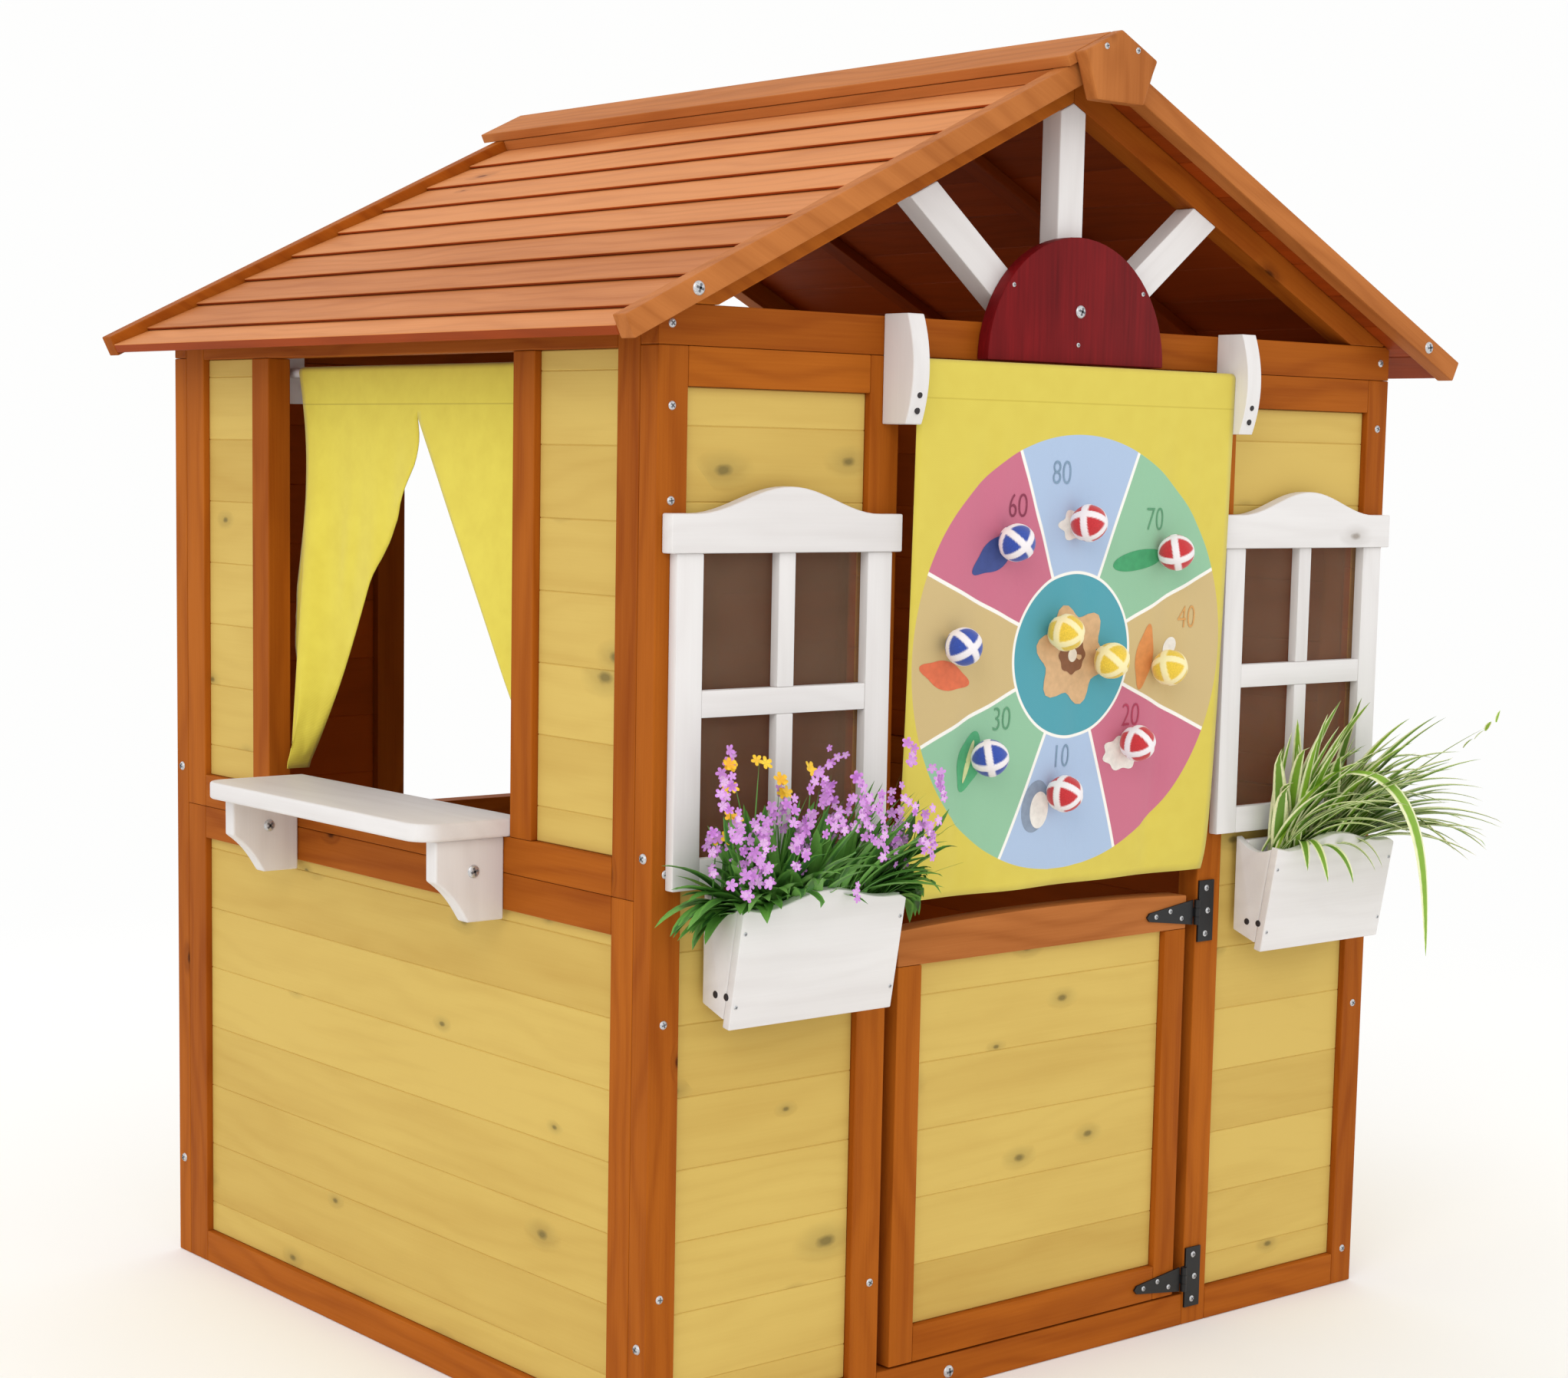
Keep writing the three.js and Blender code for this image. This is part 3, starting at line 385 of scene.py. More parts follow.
def wall_frame(node, across, first, last, bottom=RAIL, top=RAIL, extra=()):
    """Uprights over the full height with rails between them. across is 0 for X or 1 for Y."""
    low, high = spans(node)
    piece = Piece()
    joint = 0.25 * MM

    def member(a0, a1, z0, z1, along):
        piece.add(bar(*between(low, high, across, a0, a1, z0, z1)), along)

    a0, a1 = low[across], high[across]
    member(a0, a0 + first, low[2], high[2], 2)
    member(a1 - last, a1, low[2], high[2], 2)
    member(a0 + first + joint, a1 - last - joint, low[2], low[2] + bottom, across)
    member(a0 + first + joint, a1 - last - joint, high[2] - top, high[2], across)
    for a, b in extra:
        member(a, b, low[2] + bottom + joint, high[2] - top - joint, 2)
    piece.make(node + "_timber", brown_wood, "house", "brown_wood", node)


def board_wall(node, across, first_edge, hole=None, body="house"):
    """Boards with small vees at their edges, cut round a hole given as (from, to, low, high)."""
    low, high = spans(node)
    edges = [low[2]]
    z = first_edge
    while z < high[2] - 8 * MM:
        if z > low[2] + 8 * MM:
            edges.append(z)
        z += BOARD_PITCH
    edges.append(high[2])
    piece = Piece()

    def board(a0, a1, z0, z1, tone):
        piece.add(bar(*between(low, high, across, a0, a1, z0, z1), 0.9 * MM, 1), across, tone=tone)

    for z0, z1 in zip(edges, edges[1:]):
        tone = rng.random()
        cuts = [z0, z1] if hole is None else sorted({z0, z1, *[h for h in hole[2:] if z0 < h < z1]})
        for c0, c1 in zip(cuts, cuts[1:]):
            if hole and hole[2] <= (c0 + c1) / 2 <= hole[3]:
                board(low[across], hole[0], c0, c1, tone)
                board(hole[1], high[across], c0, c1, tone)
            else:
                board(low[across], high[across], c0, c1, tone)
    out = Vector((0, 0, 0))
    out[1 - across] = 1 if (low[1 - across] + high[1 - across]) / 2 > HOUSE_MIDDLE[1 - across] else -1
    piece.outward = lambda _: out
    piece.make(node + "_planks", yellow_wood, body, "yellow_wood", node)


def window_hole(word):
    """The gap in the boards behind a window, from the pane."""
    low, high = spans(word + "_window_pane")
    gap = 0.3 * MM
    return low[0] - gap, high[0] + gap, low[2] - gap, high[2] + gap


def walls():
    for word in ("left", "right"):
        outer_first = (STILE, JAMB) if word == "left" else (JAMB, STILE)
        front = f"front_{word}"
        wall_frame(front + "_frame", 0, *outer_first)
        edge = spans(front + "_frame")[0][2] + RAIL + BOARD_PITCH / 2
        board_wall(front + "_boards", 0, edge, window_hole(word))
        wall_frame(f"rear_{word}_frame", 0, *outer_first)
        board_wall(f"rear_{word}_boards", 0, edge)
        wall_frame(f"{word}_lower_frame", 1, STILE, REAR_STILE)
        board_wall(f"{word}_lower_boards", 1, edge)
    wall_frame("rear_centre_frame", 0, STILE, STILE)
    board_wall("rear_centre_boards", 0, RAIL + BOARD_PITCH / 2)
    upper = spans("left_upper_frame")[0][2] + RAIL + BOARD_PITCH / 2
    front_boards, rear_boards = spans("left_upper_front_boards"), spans("left_upper_rear_boards")
    jamb = 36 * MM
    gap = 0.3 * MM
    jambs = (
        (front_boards[1][1] + gap, front_boards[1][1] + gap + jamb),
        (rear_boards[0][1] - gap - jamb, rear_boards[0][1] - gap),
    )
    wall_frame("left_upper_frame", 1, STILE, REAR_STILE, extra=jambs)
    board_wall("left_upper_front_boards", 1, upper)
    board_wall("left_upper_rear_boards", 1, upper)
    wall_frame("right_upper_frame", 1, STILE, REAR_STILE)
    board_wall("right_upper_boards", 1, upper)
    for node in ("threshold_rail", "front_beam", "rear_beam"):
        whole(node, "_timber", brown_wood, "brown_wood")


# ---- Roof ----
def slope_place(side):
    """Local x up the slope from the eave tip, local y square out of the roof, local z along +Y."""
    tip = spans("front_bargeboard_" + ("left" if side < 0 else "right"))
    x = tip[0][0] if side < 0 else tip[1][0]
    cos, sin = math.cos(SLOPE), math.sin(SLOPE)
    return frame_axes((-side * cos, 0, sin), (side * sin, 0, cos), (0, 1, 0), Vector((x, 0, eave_height())))


def slope_grain(side):
    """Turns a point so that its first coordinate runs up the slope."""
    cos, sin = math.cos(SLOPE), math.sin(SLOPE)
    return Matrix(((-side * cos, 0, sin), (0, 1, 0), (sin, 0, cos)))


def half_solid(node, side):
    """The half of a node's solid on one side of the ridge line."""
    bm = node_solid(node, 0)
    bmesh.ops.bisect_plane(
        bm,
        geom=bm.verts[:] + bm.edges[:] + bm.faces[:],
        plane_co=(side * 0.1 * MM, 0, 0),
        plane_no=(-side, 0, 0),
        clear_outer=True,
    )
    bmesh.ops.holes_fill(bm, edges=[e for e in bm.edges if e.is_boundary])
    return bm


def eave_height():
    """Height of the eave tips, from the bargeboards' tops at the ridge."""
    low, high = spans("front_bargeboard_left")
    return high[2] - (high[0] - low[0]) * math.tan(SLOPE)


def slope_length():
    low, high = spans("front_bargeboard_left")
    return (high[0] - low[0]) / math.cos(SLOPE)


def slats(word, side):
    node = "roof_slats_" + word
    low, high = spans(node)
    length = slope_length()
    piece = Piece()
    lip, tuck = 5 * MM, 0.8 * MM
    starts = [0.0]
    end = length - (SLAT_DROP + LAP_STEP) * math.tan(SLOPE) - 0.4 * MM
    at = FIRST_SLAT
    while at < end - BOARD_PITCH / 2:
        starts.append(at)
        at += SLAT_PITCH
    starts.append(end)
    for i, (a, b) in enumerate(zip(starts, starts[1:])):
        nose = [(a, -SLAT_BOTTOM), (a, -SLAT_DROP)]
        if i:
            nose = [
                (a + 0.3 * MM, -SLAT_BOTTOM),
                (a + 0.3 * MM, -SLAT_DROP - LAP_STEP + tuck),
                (a - lip, -SLAT_DROP - LAP_STEP + tuck + 0.3 * MM),
                (a - lip, -SLAT_DROP + 0.3 * MM),
            ]
        tail = [(b, -SLAT_DROP - LAP_STEP), (b, -SLAT_BOTTOM)]
        if i == len(starts) - 2:
            tail[1] = (b - 6 * MM * math.tan(SLOPE), -SLAT_BOTTOM)
        bm = slab(nose + tail, high[1] - low[1], bevel=0.8 * MM, segments=1)
        place = slope_place(side) @ Matrix.Translation((0, 0, low[1]))
        piece.add(bm, 2, place)
    batten = 12 * MM
    for y in (low[1] + 270 * MM, high[1] - 300 * MM):
        outline = [
            (118 * MM, -SLAT_BOTTOM - 0.1 * MM),
            (length - 12 * MM, -SLAT_BOTTOM - 0.1 * MM),
            (length - 18 * MM, -SLAT_BOTTOM - batten),
            (118 * MM, -SLAT_BOTTOM - batten),
        ]
        piece.add(slab(outline, 30 * MM), 0, slope_place(side) @ Matrix.Translation((0, 0, y)))
    piece.outward = lambda _: Vector((side * math.sin(SLOPE), 0, math.cos(SLOPE)))
    piece.make(node + "_lapped", roof_wood, "house", "roof_wood", node)


def roof():
    for word, side in (("left", -1), ("right", 1)):
        slats(word, side)
        for end, material in (("front", barge_wood), ("rear", brown_wood)):
            node = f"{end}_bargeboard_{word}"
            whole(node, "_timber", material, "brown_wood", slope_grain(side), 1.6 * MM)
    for end in ("front", "rear"):
        node = f"{end}_rafters"
        halves = Piece()
        for side in (-1, 1):
            halves.add(soften(half_solid(node, side), 1.3 * MM), slope_grain(side))
        halves.make(node + "_timber", brown_wood, "house", "brown_wood", node)
    cap = Piece()
    for side in (-1, 1):
        cap.add(soften(half_solid("ridge_cap", side), 1.2 * MM), 1)
    cap.make("ridge_cap_boards", barge_wood, "house", "roof_wood", "ridge_cap")
    ridge_cap_skirts()
    whole("ridge_plate", "_timber", barge_wood, "brown_wood", 2, 2.5 * MM)


def ridge_cap_skirts():
    """Strips that close the gap between the ridge cap and the slats."""
    skirt = Piece()
    low, high = spans("roof_slats_left")
    start, width = slope_length() - 60 * MM, 14 * MM
    top, bottom = -0.5 * MM, -12.5 * MM
    for side in (-1, 1):
        outline = [(start, top), (start + width, top), (start + width, bottom), (start, bottom)]
        place = slope_place(side) @ Matrix.Translation((0, 0, low[1]))
        skirt.add(slab(outline, high[1] - low[1], 0.8 * MM, 1), 2, place)
    skirt.make("ridge_cap_skirts", barge_wood, "house", "roof_wood")


# ---- Gable, brackets, shelf ----
def gable():
    whole("sun", "_board", red_wood, "red_wood", 2, 2 * MM, smooth=35)
    for word, degrees in (("left", 141.5), ("centre", 90.0), ("right", 38.5)):
        a = math.radians(degrees)
        along = Matrix(((math.cos(a), 0, math.sin(a)), (-math.sin(a), 0, math.cos(a)), (0, 1, 0)))
        whole("ray_" + word, "_bar", white_wood, "white_wood", along, 1.5 * MM)
    for word in ("left", "right"):
        whole("target_bracket_" + word, "_wood", white_wood, "white_wood", 2, 2.5 * MM, 3, smooth=40)


def shelf():
    low, high = spans("shelf_board")
    r = 26 * MM
    corner = [(low[0] + r - r * math.sin(t), low[1] + r - r * math.cos(t)) for t in arc(0, 90, 8)]
    far = [(x, low[1] + high[1] - y) for x, y in reversed(corner)]
    outline = [(high[0], low[1]), *corner, *far, (high[0], high[1])]
    bm = slab(outline, high[2] - low[2], 3.5 * MM, 3)
    Piece().add(bm, 1, Matrix.Translation((0, 0, low[2]))).make(
        "shelf_top", white_wood, "house", "white_wood", "shelf_board", smooth=40
    )
    for word in ("front", "rear"):
        whole("shelf_bracket_" + word, "_wood", white_wood, "white_wood", 2, 2.5 * MM, 3, smooth=40)


def arc(start, end, steps):
    return [math.radians(start + (end - start) * i / steps) for i in range(steps + 1)]


# ---- Windows ----
def window(word):
    low, high = spans(word + "_window_frame")
    pane_low, pane_high = spans(word + "_window_pane")
    opening = (pane_low[0] + PANE_LAP, pane_high[0] - PANE_LAP)
    x0, x1 = opening[0] - WINDOW_STILE, opening[1] + WINDOW_STILE
    middle = (x0 + x1) / 2
    front, back = low[1] + 4 * MM, high[1]
    sill = low[2]
    piece = Piece()
    for a, b in ((x0, opening[0]), (opening[1], x1)):
        piece.add(bar((a, front, sill), (b, back, WINDOW_HEAD), 1.8 * MM), 2)
    gap = 0.2 * MM
    rail_low = (opening[0] + gap, front + 0.6 * MM, sill)
    piece.add(bar(rail_low, (opening[1] - gap, back, sill + WINDOW_BOTTOM_RAIL)), 0)
    mid = WINDOW_MID_HEIGHT
    piece.add(bar((opening[0], front + 0.6 * MM, mid), (opening[1], back, mid + WINDOW_MID_RAIL)), 0)
    for a, b in ((sill + WINDOW_BOTTOM_RAIL, mid), (mid + WINDOW_MID_RAIL, WINDOW_HEAD)):
        half = WINDOW_MUNTIN / 2
        piece.add(bar((middle - half, front + 0.6 * MM, a), (middle + half, back, b)), 2)
    half, shoulder, crown = (high[0] - low[0]) / 2, high[2] - 25 * MM, high[2]
    bell = half - 28 * MM
    curve = [(t / 12, (1 - math.cos(math.pi * t / 12)) / 2) for t in range(13)]
    left = [(middle - bell + bell * u, shoulder + (crown - shoulder) * v) for u, v in curve]
    right = [(2 * middle - x, z) for x, z in reversed(left[:-1])]
    outline = [(middle - half, WINDOW_HEAD), (middle - half, shoulder), *left, *right]
    outline += [(middle + half, shoulder), (middle + half, WINDOW_HEAD)]
    place = Matrix.Translation((0, low[1], 0)) @ XZ
    piece.add(slab(outline, high[1] - low[1], 2 * MM, 3), 0, place)
    piece.make(word + "_window_wood", white_wood, "house", "white_wood", word + "_window_frame", smooth=30)


def panes():
    material = clear_pane()
    for word in ("left", "right"):
        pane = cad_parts[word + "_window_pane"]
        pane.data.materials.clear()
        pane.data.materials.append(material)


# ---- Flower boxes ----
def planter(word):
    node = word + "_planter"
    low, high = spans(node)
    back = high[1]
    base, foot = low[2], 436 * MM
    top = foot + 103 * MM

    def inner(z):
        """Where the sides and the floor end, just behind the leaning front board."""
        return PLANTER_FRONT - PLANTER_LEAN * (z - base) / PLANTER_HEIGHT + PLANTER_WALL + 0.3 * MM

    x0, x1 = low[0], high[0]
    piece = Piece()
    dip = [(t / 8) for t in range(9)]
    y_top = inner(foot + 96 * MM)
    scoop = [(back + (y_top - back) * t, top - 9 * MM * t - 9 * MM * math.sin(math.pi * t)) for t in dip]
    side = [(back, foot), (inner(base + 9 * MM), base + 9 * MM), *reversed(scoop)]
    for x in (x0, x1 - PLANTER_WALL):
        piece.add(slab(side, PLANTER_WALL, 1.5 * MM, 2), 2, Matrix.Translation((x, 0, 0)) @ YZ)
    floor_top = foot + 18 * MM
    under = foot + 8 * MM
    floor = [(back, under), (back, floor_top), (inner(floor_top), floor_top), (inner(under), under)]
    inside = x1 - x0 - 2 * PLANTER_WALL
    piece.add(slab(floor, inside, 0.5 * MM, 1), 1, Matrix.Translation((x0 + PLANTER_WALL, 0, 0)) @ YZ)
    rear_low = (x0 + PLANTER_WALL, back - PLANTER_WALL, floor_top)
    piece.add(bar(rear_low, (x1 - PLANTER_WALL, back, top - 4 * MM)), 0)
    w, h, rise = x1 - x0, PLANTER_HEIGHT, 15 * MM
    ogee = [(t / 12, (1 - math.cos(math.pi * t / 12)) / 2) for t in range(13)]
    left = [(20 * MM + (w / 2 - 20 * MM) * u, h - 2 * MM + rise * v) for u, v in ogee]
    right = [(w - 24 * MM - (w / 2 - 24 * MM) * u, h + (rise - 2 * MM) * v) for u, v in reversed(ogee[:-1])]
    front = [(0, 0), (0, h + 2 * MM), *left, *right, (w - 8 * MM, h), (w, h - 4 * MM), (w, 0)]
    place = Matrix.Translation((x0, PLANTER_FRONT, base)) @ Matrix.Rotation(PLANTER_TILT, 4, "X") @ XZ
    piece.add(slab(front, PLANTER_WALL, 1.8 * MM, 3), 0, place)
    piece.make(node + "_wood", white_wood, "house", "white_wood", node, smooth=30)


# ---- Cloth ----
def grid_faces(rows, columns):
    faces = []
    for r in range(rows - 1):
        for c in range(columns - 1):
            a = r * columns + c
            faces.append((a, a + 1, a + columns + 1, a + columns))
    return faces


def simulate(points, faces, held, frames, bending):
    """Cloth simulation with some points held. It returns the points where the cloth comes to hang."""
    mesh = bpy.data.meshes.new("cloth_run")
    mesh.from_pydata(points, [], faces)
    made = bpy.data.objects.new("cloth_run", mesh)
    scene = bpy.context.scene
    scene.collection.objects.link(made)
    made.vertex_groups.new(name="held").add(held, 1.0, "REPLACE")
    modifier = made.modifiers.new("cloth", "CLOTH")
    settings = modifier.settings
    settings.quality = 8
    settings.mass = 0.15
    settings.tension_stiffness = settings.compression_stiffness = 30
    settings.shear_stiffness = 15
    settings.bending_stiffness = bending
    settings.air_damping = 3.0
    settings.vertex_group_mass = "held"
    modifier.collision_settings.use_collision = False
    modifier.point_cache.frame_start, modifier.point_cache.frame_end = 1, frames
    scene.frame_start, scene.frame_end = 1, frames
    for number in range(1, frames + 1):
        scene.frame_set(number)
    evaluated = made.evaluated_get(bpy.context.evaluated_depsgraph_get())
    hung = [v.co.copy() for v in evaluated.data.vertices]
    bpy.data.objects.remove(made)
    scene.frame_set(1)
    return hung


class Sheet:
    """Cloth points with the flat coordinates that they were cut to."""

    def __init__(self, points, flat, faces):
        self.points, self.flat, self.faces = points, flat, faces

    def hang(self, held, frames, bending):
        self.points = simulate(self.points, self.faces, held, frames, bending)

    def normals(self):
        mesh = bpy.data.meshes.new("normals")
        mesh.from_pydata(self.points, [], self.faces)
        found = [v.normal.copy() for v in mesh.vertices]
        bpy.data.meshes.remove(mesh)
        return found

    def make(self, name, material, body, slot, thickness, *nodes):
        """The cloth with a back and closed edges."""
        count = len(self.points)
        back = [p - n * thickness for p, n in zip(self.points, self.normals())]
        faces = self.faces + [tuple(i + count for i in reversed(f)) for f in self.faces]
        sides = {(a, b) for f in self.faces for a, b in zip(f, f[1:] + f[:1])}
        faces += [(b, a, a + count, b + count) for a, b in sorted(sides) if (b, a) not in sides]
        return sheet_object(name, self.points + back, faces, self.flat * 2, material, body, slot, *nodes)


# ---- Hardware ----
def dome(radius, height, steps=20, rings=4):
    """A low domed head, base on local z = 0."""
    bm = bmesh.new()
    rows = []
    for r in range(rings + 1):
        t = r / rings * math.pi / 2
        rad, z = radius * math.cos(t), height * math.sin(t)
        if r == rings:
            rows.append([bm.verts.new((0, 0, height))])
        else:
            rows.append(
                [bm.verts.new((rad * math.cos(a), rad * math.sin(a), z)) for a in arc(0, 360 - 360 / steps, steps - 1)]
            )
    for one, two in zip(rows, rows[1:]):
        for i in range(steps):
            j = (i + 1) % steps
            if len(two) == 1:
                bm.faces.new((one[i], one[j], two[0]))
            else:
                bm.faces.new((one[i], one[j], two[j], two[i]))
    bm.faces.new(list(reversed(rows[0])))
    return bm


def toward(normal, at):
    turn = Vector((0, 0, 1)).rotation_difference(Vector(normal)).to_matrix().to_4x4()
    return Matrix.Translation(at) @ turn @ Matrix.Rotation(rng.uniform(0, math.pi), 4, "Z")


def screw_into(heads, slots, at, normal, radius, height):
    place = toward(normal, at)
    heads.add(dome(radius, height), 0, place)
    # The slot is a raised cross in the darker grey: painted shade of the recess, not a cut
    w = radius * 0.16
    for a in (0, math.pi / 2):
        cross = bar((-radius * 0.62, -w, height * 0.86), (radius * 0.62, w, height * 1.04), 0)
        slots.add(cross, 0, place @ Matrix.Rotation(a, 4, "Z"))


def hardware():
    heads, slots = Piece(), Piece()
    front = spans("front_left_frame")[0][1]
    house_low, house_high = spans("front_beam")
    left, right = house_low[0], house_high[0]
    small, big = (4.2 * MM, 1.6 * MM), (6.6 * MM, 2.6 * MM)
    faces = []
    for x, z in ((left + 15 * MM, 1058), (right - 15 * MM, 1058)):
        faces.append((x, front, z * MM, small))
    for z in (985, 900, 560, 420, 160, 40):
        faces.append((left + 16 * MM, front, z * MM, small))
    for z in (985, 560, 330, 40):
        faces.append((right - 16 * MM, front, z * MM, small))
    jamb_left = spans("front_left_frame")[1][0]
    faces.append((jamb_left - 12 * MM, front, 130 * MM, small))
    threshold = spans("threshold_rail")
    faces.append((-126 * MM, threshold[0][1], 17 * MM, big))
    sun = spans("sun")[0][1]
    faces += [(2 * MM, sun, 1091 * MM, big), (0, sun, 1058 * MM, (2.4 * MM, 1 * MM))]
    faces += [(-92 * MM, sun, 1113 * MM, (2.4 * MM, 1 * MM)), (92 * MM, sun, 1113 * MM, (2.4 * MM, 1 * MM))]
    plate = spans("ridge_plate")
    faces += [(s * 22 * MM, plate[0][1], plate[1][2] - 18 * MM, (3.2 * MM, 1.2 * MM)) for s in (-1, 1)]
    barge = spans("front_bargeboard_left")[0][1]
    for x in (-505 * MM, 528 * MM):
        half = spans("front_bargeboard_right")[1][0]
        faces.append((x, barge, eave_height() + (half - abs(x)) * math.tan(SLOPE) - 13 * MM, big))
    for x, y, z, size in faces:
        screw_into(heads, slots, (x, y, z), (0, -1, 0), *size)
    rear = spans("rear_left_frame")[1][1]
    for x in (left + 16 * MM, right - 16 * MM):
        for z in (1000, 574, 112):
            screw_into(heads, slots, (x, rear, z * MM), (0, 1, 0), *small)
    for x, sign in ((left, -1), (right, 1)):
        for y in (rear - 13 * MM, front + 13 * MM):
            for z in (574, 112):
                screw_into(heads, slots, (x, y, z * MM), (sign, 0, 0), 5 * MM, 2.6 * MM)
    for word in ("front", "rear"):
        low, high = spans("shelf_bracket_" + word)
        screw_at = ((low[0] + high[0]) / 2 + 4 * MM, low[1], high[2] - 32 * MM)
        screw_into(heads, slots, screw_at, (0, -1, 0), *big)
    for word in ("left", "right"):
        low, high = spans(word + "_planter")
        normal = (0, -math.cos(PLANTER_TILT), -math.sin(PLANTER_TILT))
        for x in (low[0] + 5 * MM, high[0] - 5 * MM):
            for h in (22 * MM, 92 * MM):
                y = PLANTER_FRONT - math.tan(PLANTER_TILT) * h
                screw_into(heads, slots, (x, y, low[2] + h), normal, 2.2 * MM, 0.8 * MM)
    heads.make("house_screws", bright_steel, "house", "black_steel", smooth=50)
    slots.make("house_screw_slots", slot_shade_grey, "house", "black_steel")


def dimples():
    """Dark plugged holes in the brackets and the flower boxes."""
    holes = Piece()
    for word in ("left", "right"):
        low, high = spans("target_bracket_" + word)
        x = (low[0] + high[0]) / 2
        for z, reach in ((1068, 35.5), (1002, 41.5), (987, 38.5)):
            y = -13.5 * MM - reach * MM
            holes.add(dome(3.6 * MM, 0.9 * MM), 0, toward((0, -1, 0), (x, y, z * MM)))
        low, high = spans(word + "_planter")
        for i in (0, 1):
            at = (low[0], -33 * MM - i * 16 * MM, 447 * MM)
            holes.add(dome(3.6 * MM, 0.8 * MM), 0, toward((-1, 0, 0), at))
    holes.make("plugged_holes", dark_hole, "house", "black_steel", smooth=50)


def hinges():
    """A leaf's screws are placed from its high edge, and a strap's from its low edge."""
    for word in ("lower", "upper"):
        leaf, strap = "hinge_leaf_" + word, "hinge_strap_" + word
        for node, body in ((leaf, "house"), (strap, "door")):
            whole(node, "_steel", black_steel, "black_steel", 0, 0.5 * MM, 1, body, 35)
        edge = spans(leaf)[1][0]
        places = [(edge - (12 if dz else 9) * MM, dz) for dz in (-25, 0, 25)]
        hinge_screws(leaf, "house", places, 3.4 * MM, 1.3 * MM)
        edge = spans(strap)[0][0]
        places = [(edge + x * MM, dz) for x, dz in ((14, 0), (36, 4), (54, -5))]
        hinge_screws(strap, "door", places, 2.8 * MM, 1.2 * MM)


def hinge_screws(node, body, places, radius, height):
    heads, slots = Piece(), Piece()
    low, high = spans(node)
    z = (low[2] + high[2]) / 2
    for x, dz in places:
        screw_into(heads, slots, (x, -16 * MM, z + dz * MM), (0, -1, 0), radius, height)
    heads.make(node + "_screws", bright_steel, body, "black_steel", smooth=50)
    slots.make(node + "_screw_slots", slot_shade_grey, body, "black_steel")


# ---- Door ----
def door():
    low, high = spans("door_frame")
    piece = Piece()
    top = high[2] - DOOR_ARCH
    joint = 0.25 * MM
    for a, b in ((low[0], low[0] + DOOR_STILE), (high[0] - DOOR_STILE, high[0])):
        piece.add(bar((a, low[1], low[2]), (b, high[1], top - DOOR_TOP_RAIL - joint)), 2)
    x0, x1 = low[0] + DOOR_STILE + joint, high[0] - DOOR_STILE - joint
    piece.add(bar((x0, low[1], low[2]), (x1, high[1], low[2] + DOOR_BOTTOM_RAIL)), 0)
    half, middle = (high[0] - low[0]) / 2, (high[0] + low[0]) / 2
    steps = 16
    crown = []
    for i in range(steps + 1):
        rise = DOOR_ARCH * (1 - (2 * i / steps - 1) ** 2)
        crown.append((middle - half + 2 * half * i / steps, top + rise))
    outline = [(middle - half, top - DOOR_TOP_RAIL), *crown, (middle + half, top - DOOR_TOP_RAIL)]
    piece.make("door_frame_timber", brown_wood, "door", "brown_wood", "door_frame", smooth=20)
    crown_rail = Piece().add(slab(outline, high[1] - low[1]), 0, Matrix.Translation((0, low[1], 0)) @ XZ)
    crown_rail.make("door_top_rail_timber", barge_wood, "door", "brown_wood", smooth=20)
    board_wall("door_boards", 0, low[2] + DOOR_BOTTOM_RAIL + BOARD_PITCH - 8 * MM, body="door")


# ---- Target ----
TARGET_RADIUS, HUB_RADIUS, DIVIDER = 221 * MM, 82 * MM, 2.2 * MM
WHEEL_DROP = 283 * MM  # wheel centre below the rod
TARGET_LEAN = 25 * MM  # how far the cloth's bottom edge hangs behind its top
TARGET_TAPER = 0.012  # narrower at the bottom by this share, so that it swings in between the jambs
SECTOR_COLORS = {
    "tan": "#cbb27c",
    "green": "#8fbf9c",
    "blue": "#aabfdc",
    "pink": "#c66b84",
}
SECTORS = ["tan", "green", "blue", "pink", "tan", "green", "blue", "pink"]  # from the right, anticlockwise
NUMBERS = {  # word, place in mm from the cloth's middle and down from the rod, ink
    "40": (169, 249, "#d9a05c"),
    "70": (112, 147, "#5f9c74"),
    "80": (-27, 101, "#7f9ab3"),
    "60": (-87, 134, "#8c3450"),
    "30": (-96, 345, "#5f9c74"),
    "10": (-8, 387, "#7f9ab3"),
    "20": (93, 349, "#b53e5c"),
}
BALLS = [
    ("blue", -106, 168),
    ("red", -6, 149),
    ("red", 125, 179),
    ("blue", -170, 268),
    ("yellow", -28, 258),
    ("yellow", 39, 288),
    ("yellow", 126, 298),
    ("red", 87, 375),
    ("blue", -123, 379),
    ("red", -18, 421),
]


